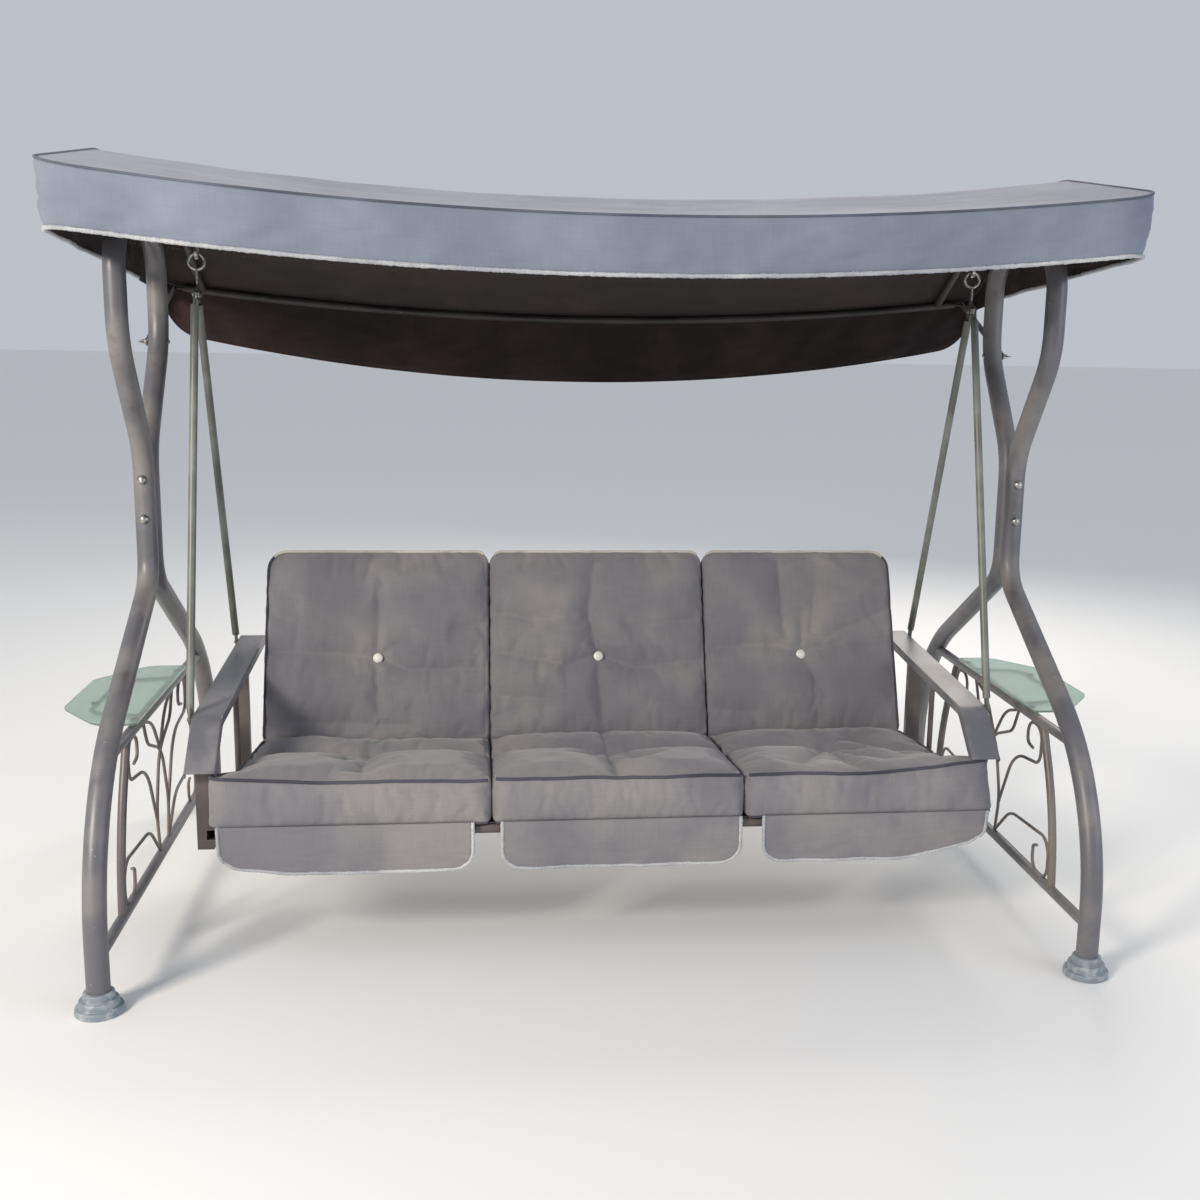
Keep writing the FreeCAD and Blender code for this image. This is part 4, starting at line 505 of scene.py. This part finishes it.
def padGrid(halfX, length, thick, corners):
    # corners: radii at left and right of the near edge, then of the far edge
    # a closed rounded box as a grid: points in (x, along, up) with flags, faces, and the two piped rings
    step = cushions["step"]
    nx, ny, nz = (max(4, round(size / step)) for size in (2 * halfX, length, thick))
    index = {}

    def vert(i, j, k):
        return index.setdefault((i, j, k), len(index))

    faces, uv = [], []

    def quad(corners, sizes):
        faces.append([vert(*c) for c in corners])
        uv.append([(c[sizes[0]] * step, c[sizes[1]] * step) for c in corners])

    for i in range(nx):
        for j in range(ny):
            quad([(i, j, 0), (i, j + 1, 0), (i + 1, j + 1, 0), (i + 1, j, 0)], (0, 1))
            quad([(i, j, nz), (i + 1, j, nz), (i + 1, j + 1, nz), (i, j + 1, nz)], (0, 1))
    for k in range(nz):
        for i in range(nx):
            quad([(i, 0, k), (i + 1, 0, k), (i + 1, 0, k + 1), (i, 0, k + 1)], (0, 2))
            quad([(i, ny, k), (i, ny, k + 1), (i + 1, ny, k + 1), (i + 1, ny, k)], (0, 2))
        for j in range(ny):
            quad([(0, j, k), (0, j, k + 1), (0, j + 1, k + 1), (0, j + 1, k)], (1, 2))
            quad([(nx, j, k), (nx, j + 1, k), (nx, j + 1, k + 1), (nx, j, k + 1)], (1, 2))
    edge = cushions["edge"]
    points, rims = [], {0: [], nz: []}
    for (i, j, k), number in index.items():
        x, y = (i / nx * 2 - 1) * halfX, (j / ny - 0.5) * length
        corner = corners[(x > 0) + 2 * (y > 0)]
        x, y = roundedPlan(x, y, halfX, length / 2, corner)
        z = k / nz * thick
        inner = Vector((max(-halfX + corner, min(halfX - corner, x)),
                        max(-length / 2 + corner, min(length / 2 - corner, y))))
        out = Vector((x, y)) - inner
        if out.length > 1e-9:
            inset = corner - out.length
            u, up = max(0.0, edge - inset), max(0.0, abs(z - thick / 2) - (thick / 2 - edge))
            roundU, roundUp = roundCorner(u, up)
            shift = out.normalized() * (roundU - u)
            x, y = x + shift.x, y + shift.y
            z += math.copysign(roundUp - up, z - thick / 2)
        points.append((x, y + length / 2, z))
    ring = [(i, 0) for i in range(nx)] + [(nx, j) for j in range(ny)]
    ring += [(nx - i, ny) for i in range(nx)] + [(0, ny - j) for j in range(ny)]
    rims = [[index[i, j, k] for i, j in ring] for k in (0, nz)]
    return points, faces, uv, rims, list(index), (nx, ny, nz)


def ease(value, low, high):
    share = max(0.0, min(1.0, (value - low) / (high - low)))
    return share * share * (3 - 2 * share)


def endTuck(x, s):
    # ahead of the arm posts the ends of the seat bulge out, and their top edge is pushed back and up
    right = x > 0
    spread = (0.078 if right else 0.046) * ease(abs(x), 0.55, cushionHalf) * ease(s, 0.515, 0.585)
    share = ease(abs(x), 0.62, cushionHalf) * ease(s, 0.40, 0.62) * (1.0 if right else 0.5)
    return math.copysign(spread, x), 0.045 * share, 0.014 * share


def seatMap(x, y, z, centre, length):
    low = meetS * (seat["base"] + z) / (seat["base"] + seat["seatPad"]) + seat["mitreGap"]
    s = low + (seat["front"] - low) * y / length
    out, back, up = endTuck(centre + x, s)
    share = min(1.0, z / seat["seatPad"])
    return seatPoint(centre + x + out, s - back * share, seat["base"] + z + up * share)


def backMap(x, y, z, centre, length):
    low = meetT * (seat["base"] + z) / (seat["base"] + seat["backPad"]) + seat["mitreGap"]
    t = low + (seat["top"] - low) * y / length
    return backPoint(centre + x, t, seat["base"] + z)


# sewn and pulled creases: (x, y) from and to across the face in shares, depth in mm, width in mm
backCreases = {
    "left": [((-1.0, 0.47), (0.0, 0.43), 7, 9), ((0.0, 0.43), (0.28, 0.36), 9, 8), ((0.28, 0.36), (1.0, 0.37), 6, 9),
             ((0.0, 0.43), (0.02, 0.72), 3, 8), ((0.0, 0.43), (0.0, 0.10), 3, 10), ((0.0, 0.43), (0.2, 0.50), 5, 8),
             ((-1.0, 0.66), (-0.55, 0.60), 3, 9), ((1.0, 0.60), (0.70, 0.58), 3, 8), ((1.0, 0.22), (0.6, 0.24), 3, 8),
             ((-0.95, 0.10), (0.3, 0.07), 4, 13)],
    "middle": [((-1.0, 0.46), (-0.3, 0.38), 4, 9), ((-0.3, 0.38), (0.0, 0.43), 7, 9), ((0.0, 0.43), (0.35, 0.36), 9, 8),
               ((0.35, 0.36), (1.0, 0.40), 6, 9), ((0.0, 0.43), (-0.08, 0.66), 8, 7), ((-0.08, 0.66), (-0.02, 0.95), 3, 11),
               ((-1.0, 0.66), (-0.45, 0.62), 5, 8), ((-1.0, 0.22), (-0.5, 0.20), 5, 8), ((0.0, 0.43), (0.02, 0.08), 3, 10),
               ((1.0, 0.63), (0.3, 0.58), 3, 10), ((-1.0, 0.10), (-0.7, 0.16), 4, 8)],
    "right": [((-1.0, 0.46), (-0.35, 0.48), 6, 9), ((-0.35, 0.48), (0.0, 0.44), 9, 8), ((0.0, 0.44), (0.45, 0.49), 8, 8),
              ((0.45, 0.49), (1.0, 0.50), 4, 9), ((-0.16, 0.52), (-0.20, 0.96), 5, 9), ((0.0, 0.44), (0.03, 0.66), 6, 8),
              ((0.12, 0.55), (0.22, 0.92), 3, 11), ((1.0, 0.68), (0.30, 0.52), 4, 9), ((0.0, 0.44), (0.14, 0.28), 4, 8),
              ((-1.0, 0.14), (-0.5, 0.11), 3, 9)],
}
seatCreases = {
    "left": [((0.0, 0.42), (0.0, 0.84), 5, 10), ((-1.0, 0.42), (0.0, 0.42), 5, 11), ((0.0, 0.42), (1.0, 0.40), 6, 11),
             ((0.0, 0.42), (-0.25, 0.62), 4, 10), ((-0.3, 0.06), (0.8, 0.10), 4, 12)],
    "middle": [((0.0, 0.42), (0.0, 0.95), 7, 9), ((-1.0, 0.40), (0.0, 0.42), 6, 11), ((0.0, 0.42), (1.0, 0.44), 6, 11),
               ((0.0, 0.42), (0.24, 0.66), 5, 9), ((0.0, 0.42), (-0.22, 0.60), 4, 9)],
    "right": [((0.0, 0.44), (0.08, 0.92), 7, 9), ((-1.0, 0.44), (0.0, 0.44), 7, 10), ((0.0, 0.44), (1.0, 0.56), 6, 12),
              ((0.0, 0.44), (0.45, 0.80), 6, 9), ((0.0, 0.44), (-0.42, 0.84), 5, 9), ((0.35, 0.3), (0.75, 0.72), 4, 12)],
}


def creaseDepth(x, y, creases, halfX, length):
    # how far the cloth is pulled in at a place of the face
    depth = 0.0
    here = Vector((x, y))
    for start, end, deep, wide in creases:
        a, b = Vector((start[0] * halfX, start[1] * length)), Vector((end[0] * halfX, end[1] * length))
        run = b - a
        share = max(0.0, min(1.0, (here - a).dot(run) / run.length_squared))
        # a fold wanders a little and dies out at its far end
        near = a + run * share + Vector((wave((here.x, here.y, deep), 0.05), wave((here.y, here.x, wide), 0.05))) * 0.004
        away = (here - near).length
        # a sharp valley where the thread pulls, inside a broad shallow one
        sharp, broad = math.exp(-(away / (0.55 * wide * mm)) ** 1.3), math.exp(-(away / (2.6 * wide * mm)) ** 2)
        depth = max(depth, deep * mm * (1 - 0.3 * share) * (0.6 * sharp + 0.4 * broad))
    return depth


def makeCushion(name, centre, kind, label):
    halfX = panels[label][1] / 2 - cushions["inset"] * 0.35
    thick = seat["seatPad"] if kind == "seat" else seat["backPad"]
    length = (seat["front"] - meetS) if kind == "seat" else (seat["top"] - meetT)
    near, inside, outside = cushions["corners"][kind]
    corners = (near, near, outside if label == "left" else inside, outside if label == "right" else inside)
    points, faces, uv, rims, keys, cells = padGrid(halfX, length, thick - 2 * mm, corners)
    mapping = seatMap if kind == "seat" else backMap
    placed = [mapping(x, y, z + 1 * mm, centre, length) for x, y, z in points]
    obj = linkMesh(name, placed, faces, [fabric["cushionCloth"]], uv)
    bm = bmesh.new()
    bm.from_mesh(obj.data)
    bmesh.ops.recalc_face_normals(bm, faces=bm.faces)
    bm.to_mesh(obj.data)
    bm.free()
    held = set(rims[0]) | set(rims[1])
    creases = (seatCreases if kind == "seat" else backCreases)[label]
    buttonShare = 0.42 if kind == "seat" else 0.43
    group = obj.vertex_groups.new(name="sewn")
    for number, ((i, j, k), (x, y, z)) in enumerate(zip(keys, points)):
        hold = 1.0 if number in held else 0.0
        if k == cells[2]:
            deep = creaseDepth(x, y, creases, halfX, length)
            hold = max(hold, min(0.9, deep / (9 * mm)))
            if math.hypot(x, y - buttonShare * length) < 0.014:
                hold = 1.0
        if k == 0:
            hold = 1.0
        if hold > 0:
            group.add([number], hold, "REPLACE")
    return {"obj": obj, "points": points, "keys": keys, "cells": cells, "rims": rims, "creases": creases,
            "halfX": halfX, "length": length, "centre": centre, "kind": kind, "label": label, "thick": thick,
            "button": buttonShare}


def swellCushions(made):
    # air pressure inside the sewn covers puffs the panels up between their seams
    swell = cushions["swell"]
    for cushion in made:
        cloth = cushion["obj"].modifiers.new("swell", "CLOTH")
        cloth.settings.quality = 5
        cloth.settings.mass = 0.3
        cloth.settings.tension_stiffness = 18
        cloth.settings.compression_stiffness = 12
        cloth.settings.shear_stiffness = 6
        cloth.settings.bending_stiffness = 0.4
        cloth.settings.use_pressure = True
        cloth.settings.uniform_pressure_force = swell["pressure"]
        cloth.settings.vertex_group_mass = "sewn"
        cloth.settings.shrink_min = -0.025
        cloth.settings.effector_weights.gravity = 0
        cloth.collision_settings.use_collision = False
        cloth.point_cache.frame_start = 1
        cloth.point_cache.frame_end = swell["frames"]
    scene = bpy.context.scene
    for number in range(1, swell["frames"] + 1):
        scene.frame_set(number)
    graph = bpy.context.evaluated_depsgraph_get()
    swollen = []
    for cushion in made:
        data = cushion["obj"].evaluated_get(graph).data
        place = np.empty(len(data.vertices) * 3, np.float32)
        data.vertices.foreach_get("co", place)
        swollen.append(place.reshape(-1, 3).copy())
    for cushion, place in zip(made, swollen):
        obj = cushion["obj"]
        obj.modifiers.clear()
        rest = np.empty(len(obj.data.vertices) * 3, np.float32)
        obj.data.vertices.foreach_get("co", rest)
        rest = rest.reshape(-1, 3)
        move = place - rest
        far = np.linalg.norm(move, axis=1)
        keep = np.minimum(1.0, swell["limit"] / np.maximum(far, 1e-9))
        cushion["place"] = rest + move * keep[:, None]
        print(cushion["obj"].name, "swelled by up to", round(float(far.max()) * 1000, 1), "mm")
    scene.frame_set(1)


def finishCushion(cushion):
    obj = cushion["obj"]
    place = cushion["place"] if "place" in cushion else None
    seatKind = cushion["kind"] == "seat"
    up = (seatPoint(0, 0, 1) - seatPoint(0, 0, 0)) if seatKind else (backPoint(0, 0, 1) - backPoint(0, 0, 0))
    along = (seatPoint(0, 1, 0) - seatPoint(0, 0, 0)) if seatKind else (backPoint(0, 1, 0) - backPoint(0, 0, 0))
    limit = panels[cushion["label"]][1] / 2 + seat["gap"] / 2 - 0.3 * mm
    for number, vertex in enumerate(obj.data.vertices):
        (i, j, k), (x, y, z) = cushion["keys"][number], cushion["points"][number]
        point = Vector(place[number]) if place is not None else vertex.co.copy()
        if k == cushion["cells"][2]:
            deep = creaseDepth(x, y, cushion["creases"], cushion["halfX"], cushion["length"])
            tuft = 11 * mm * math.exp(-(math.hypot(x, y - cushion["button"] * cushion["length"]) / 0.022) ** 2)
            ripple = 1.4 * mm * wave((point.x, point.y, point.z), 0.045, cushion["centre"])
            ripple += 3.0 * mm * wave((point.x, point.y, point.z), 0.15, cushion["centre"] + 1)
            across, down = abs(x) / cushion["halfX"], abs(y / cushion["length"] * 2 - 1)
            puff = cushions["crown"] * (1 - across ** 4) * (1 - down ** 4)
            point -= up * (deep * cushions["crease"] + (tuft if seatKind else tuft * 0.7) - ripple - puff)
        # neighbours press flat against each other
        side, label = point.x - cushion["centre"], cushion["label"]
        if label != "left":
            side = max(-limit, side)
        if label != "right":
            side = min(limit, side)
        point.x = cushion["centre"] + side
        # nothing passes the mitre between seat and back, or the sling
        offset = point - pivot
        height, reach = offset.dot(up), offset.dot(along)
        if height < seat["base"]:
            point += up * (seat["base"] - height)
            height = seat["base"]
        meet = (meetS / (seat["base"] + seat["seatPad"])) if seatKind else (meetT / (seat["base"] + seat["backPad"]))
        least = meet * height + 1 * mm
        if reach < least:
            point += along * (least - reach)
        vertex.co = point
    subdivision = obj.modifiers.new("smooth", "SUBSURF")
    subdivision.levels = subdivision.render_levels = 1
    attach(obj, "seat" if seatKind else "backrest")
    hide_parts(f"{cushion['kind']}_cushion_{cushion['label']}")


def pipeCushions(made):
    # each rim is walked as left side, free edge and right side, so that each can have its own piping
    seams = {"seatPiping": ("seat", "darkPiping", 0.0042), "seatLowPiping": ("seat", "darkPiping", 0.0026),
             "backPiping": ("backrest", "darkPiping", 0.0034), "backTopPiping": ("backrest", "palePiping", 0.0040),
             "backRearPiping": ("backrest", "palePiping", 0.0036)}
    lines = {name: [] for name in seams}
    for cushion in made:
        co = cushion["obj"].data.vertices
        nx, ny, nz = cushion["cells"]
        low, high = ([co[n].co.copy() for n in rim] for rim in cushion["rims"])

        def part(ring, which):
            right, free, left = ring[nx:nx + ny + 1], ring[nx + ny:2 * nx + ny + 1], ring[2 * nx + ny:] + ring[:1]
            return {"right": right, "free": free, "left": left}[which]

        side = cushion["label"]
        if cushion["kind"] == "seat":
            lines["seatPiping"].append((part(high, "free"), False))
            lines["seatLowPiping"].append((part(low, "free"), False))
        else:
            lines["backTopPiping"].append((part(high, "free"), False))
            lines["backRearPiping"].append((part(low, "free"), False))
        if side != "middle":
            lines["seatPiping" if cushion["kind"] == "seat" else "backPiping"].append((part(high, side), False))
    for name, (body, cloth, radius) in seams.items():
        pipe = alongSeams(name, lines[name], "tube", fabric[cloth], radius, 0.010)
        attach(pipe, body)


def makeCushions():
    made = []
    for label, (centre, width) in panels.items():
        for kind in ("seat", "back"):
            made.append(makeCushion(f"{kind}Cushion{label.title()}", centre, kind, label))
    swellCushions(made)
    for cushion in made:
        finishCushion(cushion)
    pipeCushions(made)
    return made


cushionPieces = makeCushions()
print("cushions made")


# ---- flaps along the front of the seat

flaps = {"drop": 0.112, "corner": 0.045, "thick": 0.0022, "binding": 0.0042,
         "insets": {"left": (-0.018, 0.042), "middle": (0.022, 0.010), "right": (0.042, -0.050)}}


def makeFlaps():
    lines = []
    for k, (label, (centre, width)) in enumerate(panels.items()):
        x0 = centre - width / 2 + flaps["insets"][label][0]
        x1 = centre + width / 2 - flaps["insets"][label][1]
        columns, rows = 84, 20

        def place(i, j):
            u, v = i / (columns - 1), j / (rows - 1)
            x, down = x0 + (x1 - x0) * u, flaps["drop"] * v
            # lower corners are rounded
            radius = flaps["corner"]
            edge = min(x - x0, x1 - x)
            if edge < radius and down > flaps["drop"] - radius:
                a, b = roundCorner(radius - edge, down - flaps["drop"] + radius)
                x += (radius - edge - a) * (1 if x - x0 < x1 - x else -1)
                down = flaps["drop"] - radius + b
            out, back, up = endTuck(x, seat["front"])
            lift = ease(abs(x), cushionHalf - 0.16, cushionHalf + 0.03)
            top = seatPoint(x, seat["front"], seat["base"] + 0.004)
            fold = 0.009 * v * wave((x, k, 0), 0.10, 2) + 0.003 * v * wave((x, k, down * 3), 0.035, 4)
            return Vector((x, top.y - 0.0045 - fold - 0.004 * math.sin(math.pi * v) + 0.020 * lift * v,
                           top.z - down + (0.026 if x > 0 else 0.008) * lift * v))

        points = [place(i, j) for j in range(rows) for i in range(columns)]
        faces = gridFaces(columns, rows)
        step = (x1 - x0) / (columns - 1), flaps["drop"] / (rows - 1)
        uv = [[(c % columns * step[0], c // columns * step[1]) for c in face] for face in faces]
        flap = linkMesh(f"flap{label.title()}", points, faces, [fabric["cushionCloth"]], uv)
        shell = flap.modifiers.new("thickness", "SOLIDIFY")
        shell.thickness = flaps["thick"]
        shell.offset = 0
        left = [place(0, j) for j in range(rows)]
        low = [place(i, rows - 1) for i in range(1, columns - 1)]
        right = [place(columns - 1, j) for j in range(rows - 1, -1, -1)]
        lines.append((left + low + right, False))
        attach(flap, "seat")
        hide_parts("seat_flaps")
    binding = alongSeams("flapBinding", lines, "tube", fabric["frayedBinding"], flaps["binding"], 0.004, 0.004)
    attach(binding, "seat")


makeFlaps()
print("flaps made")


# ---- slings under the cushions

def makeSling(name, node, place, width, start, end, body):
    columns, rows = 90, 40

    def at(i, j):
        u, v = i / (columns - 1) * 2 - 1, j / (rows - 1)
        sag = 0.010 * (1 - u ** 4) * math.sin(math.pi * v)
        return place(u * width / 2, start + (end - start) * v, 0.0135 - sag)

    points = [at(i, j) for j in range(rows) for i in range(columns)]
    faces = gridFaces(columns, rows)
    stepX, stepY = width / (columns - 1), (end - start) / (rows - 1)
    uv = [[(c % columns * stepX, c // columns * stepY) for c in face] for face in faces]
    sling = linkMesh(name, points, faces, [fabric["slingMesh"]], uv)
    shell = sling.modifiers.new("thickness", "SOLIDIFY")
    shell.thickness = 0.0014
    shell.offset = 0
    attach(sling, body)
    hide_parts(node)
    return sling


slingWidth = 2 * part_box("seat_sling")[1].x
makeSling("seatSling", "seat_sling", seatPoint, slingWidth, 0.036, 0.612, "seat")
makeSling("backSling", "back_sling", backPoint, 2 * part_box("back_sling")[1].x, 0.060, 0.592, "backrest")
print("slings made")


# ---- canopy

canopy = {
    "half": 1.163, "frontReach": 0.610, "frontDrop": 0.078, "rearReach": 0.550, "rearDrop": 0.270,
    "crownHalf": 0.070, "sag": 0.060, "sideRail": 1.050, "over": 0.018,
    "frontSkirt": 0.118, "rearSkirt": 0.126, "rearDroop": 0.052, "corner": 0.120, "rearCorner": 0.050, "hemCorner": 0.095,
    "frontEdge": 0.640, "rearEdge": 0.575,
    "columns": 230, "rows": 120, "skirtRows": 16, "thick": 0.0016,
}
tiltAxis = jointPlace["canopy_tilt"]


def sagDrop(x):
    radius = (canopy["sideRail"] ** 2 + canopy["sag"] ** 2) / (2 * canopy["sag"])
    return canopy["sag"] - radius + math.sqrt(radius ** 2 - x ** 2)


def blendKnee(distance, width, bend):
    # height lost past a knee whose slope changes by bend, eased over its width
    if distance <= -width:
        return 0.0
    if distance >= width:
        return bend * distance
    return bend * (distance + width) ** 2 / (4 * width)


def canopyTop(x, y):
    front = canopy["frontDrop"] / (canopy["frontReach"] - canopy["crownHalf"])
    rear = canopy["rearDrop"] / (canopy["rearReach"] - canopy["crownHalf"])
    height = tiltAxis.z + canopy["over"] - sagDrop(x)
    height -= blendKnee(-y - canopy["crownHalf"], 0.03, front)
    height -= blendKnee(y - canopy["crownHalf"], 0.032, rear)
    # cloth hangs a little between the rails and creases near its corners
    spread = max(0.0, 1 - (x / 1.02) ** 4)
    if y < -0.046:
        share = (y + 0.046) / (0.046 - canopy["frontReach"])
        height -= 0.014 * spread * math.sin(math.pi * max(0.0, min(1.0, share)))
    elif y > 0.05:
        share = (y - 0.05) / (canopy["rearReach"] - 0.05)
        height -= 0.018 * spread * math.sin(math.pi * min(1.0, share))
    return height


def hemHeight(x, y):
    # the lower edge all round: straight along the ends, drooping at the rear
    frontY, rearY = -canopy["frontEdge"], canopy["rearEdge"]
    frontZ = canopyTop(x, frontY) - canopy["frontSkirt"]
    droop = canopy["rearDroop"] * max(0.0, 1 - (x / canopy["half"]) ** 2)
    past = max(0.0, abs(x) - canopy["half"] + canopy["hemCorner"])
    rise = canopy["hemCorner"] - math.sqrt(max(0.0, canopy["hemCorner"] ** 2 - past ** 2))
    rearZ = canopyTop(x, rearY) - canopy["rearSkirt"] - droop + rise
    kneeY, kneeZ = canopy["rearReach"] * 0.55, tiltAxis.z - canopy["rearDrop"] + 0.012 - sagDrop(x)
    if y < kneeY:
        return frontZ + (kneeZ - frontZ) * (y - frontY) / (kneeY - frontY)
    return kneeZ + (rearZ - kneeZ) * (y - kneeY) / (rearY - kneeY)


def canopyOutline(i, j):
    columns, rows = canopy["columns"], canopy["rows"]
    frontY, rearY = -canopy["frontEdge"], canopy["rearEdge"]
    x = (i / (columns - 1) * 2 - 1) * canopy["half"]
    middle, half = (frontY + rearY) / 2, (rearY - frontY) / 2
    y = (j / (rows - 1) * 2 - 1) * half
    x, y = roundedPlan(x, y, canopy["half"], half, canopy["corner"] if y < 0 else canopy["rearCorner"])
    return x, y + middle


def makeCanopy():
    columns, rows, skirt = canopy["columns"], canopy["rows"], canopy["skirtRows"]
    points, faces, uv = [], [], []
    for j in range(rows):
        for i in range(columns):
            x, y = canopyOutline(i, j)
            z = canopyTop(x, y)
            edge = min(1.0, min(1.03 - abs(x), 0.60 - abs(y)) / 0.08)
            z += max(0.0, edge) * (0.0025 * wave((x, y, 0), 0.22, 3) + 0.0012 * wave((x * 0.4, y, 0), 0.05, 5))
            points.append(Vector((x, y, z)))
    faces += gridFaces(columns, rows)
    stepX, stepY = 2 * canopy["half"] / (columns - 1), 1.23 / (rows - 1)
    uv += [[(c % columns * stepX, c // columns * stepY) for c in face] for face in faces]
    ring = [(i, 0) for i in range(columns - 1)] + [(columns - 1, j) for j in range(rows - 1)]
    ring += [(columns - 1 - i, rows - 1) for i in range(columns - 1)] + [(0, rows - 1 - j) for j in range(rows - 1)]
    above = [j * columns + i for i, j in ring]
    seamLine = [points[n].copy() for n in above]
    count = len(ring)
    length = 0.0
    run = [0.0]
    for k in range(count):
        length += (seamLine[(k + 1) % count] - seamLine[k]).length
        run.append(length)
    hemLine = []
    middleY = (canopy["rearReach"] - canopy["frontReach"]) / 2
    for row in range(1, skirt + 1):
        share = row / skirt
        below = []
        for k in range(count):
            top = seamLine[k]
            hem = hemHeight(top.x, top.y)
            before, after = seamLine[k - 1], seamLine[(k + 1) % count]
            out = Vector((after.y - before.y, before.x - after.x, 0)).normalized()
            wander = share * (0.010 * wave((top.x, top.y, 0), 0.20, 7) + 0.005 * wave((top.x, top.y, share), 0.07, 9))
            # soft diagonal pulls, strongest towards the corners
            pull = math.sin((top.x + top.y) * 46 + share * 5 + 3 * wave((top.x, top.y, share), 0.25, 11))
            wander += 0.0035 * math.sin(math.pi * share) * pull * (0.35 + 0.65 * abs(top.x) / canopy["half"])
            wander += 0.006 * math.sin(math.pi * share)
            lean = -0.010 * share if top.y < middleY else 0.0
            spot = Vector((top.x, top.y, top.z + (hem - top.z) * share)) + out * (wander + lean)
            below.append(len(points))
            points.append(spot)
            if row == skirt:
                hemLine.append(spot.copy())
        for k in range(count):
            after = (k + 1) % count
            faces.append([above[k], below[k], below[after], above[after]])
            v0, v1 = (row - 1) / skirt * 0.13, share * 0.13
            uv.append([(run[k], v0), (run[k], v1), (run[k + 1], v1), (run[k + 1], v0)])
        above = below
    # the inner face takes the near-black cloth: painted shade on the canopy's underside
    cover = linkMesh("canopyCover", points, faces, [fabric["canopyCloth"], fabric["canopyShadeAndStitchCloth"]], uv)
    shell = cover.modifiers.new("thickness", "SOLIDIFY")
    shell.thickness = canopy["thick"]
    shell.offset = -1
    shell.material_offset = 1
    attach(cover, "canopy")
    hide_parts("canopy_cover")
    piping = alongSeams("canopyPiping", [(seamLine, True)], "tube", fabric["canopyPiping"], 0.0028, 0.012, 0.0008)
    start = next(k for k in range(count) if hemLine[k].y >= 0.30 and hemLine[(k + 1) % count].y < 0.30)
    rolled = hemLine[start + 1:] + hemLine[:start + 1]
    front = [p for p in rolled if p.y < 0.30]
    binding = alongSeams("canopyHemBinding", [(front, False)], "tube", fabric["frayedBinding"], 0.0046, 0.0045, 0.006)
    # the rear hem is drawn near-black: painted shade where the pale binding stops
    rear = [p for p in hemLine if p.y >= 0.30]
    dark = alongSeams("canopyRearHem", [(rear, False)], "tube", fabric["canopyShadeAndStitchCloth"], 0.0030, 0.010)
    stitches = alongSeams("canopyStitches", [([p + Vector((0, -0.0012, -0.012)) for p in rolled
                                               if p.y < -0.6 and abs(p.x) < 1.02], False)], "stitch",
                          fabric["canopyShadeAndStitchCloth"], 0.0006, 0.009)
    for piece in (piping, binding, dark, stitches):
        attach(piece, "canopy")


makeCanopy()
print("canopy made")


# ---- floor and light

def makeStudio():
    half = studio["floorHalf"]
    material, tree, shader = newMaterial("studioFloor", {"Base Color": hexColour(studio["floor"]), "Roughness": 0.9})
    floor = linkMesh("floor", [(-half, -half, 0), (half, -half, 0), (half, half, 0), (-half, half, 0)],
                     [[0, 1, 2, 3]], [material], smooth=False)
    world = bpy.data.worlds.new("studio")
    world.use_nodes = True
    background = world.node_tree.nodes["Background"]
    background.inputs["Color"].default_value = hexColour(studio["sky"])
    background.inputs["Strength"].default_value = studio["skyStrength"]
    bpy.context.scene.world = world
    for name, place, target, size, watts, colour in studio["lights"]:
        data = bpy.data.lights.new(name, "AREA")
        data.size = size
        data.energy = watts
        data.color = hexColour(colour)[:3]
        light = bpy.data.objects.new(name, data)
        light.location = place
        light.rotation_euler = (Vector(target) - Vector(place)).to_track_quat("-Z", "Y").to_euler()
        bpy.context.scene.collection.objects.link(light)
    scene = bpy.context.scene
    scene.view_settings.view_transform = "Standard"


makeStudio()
print("studio made")
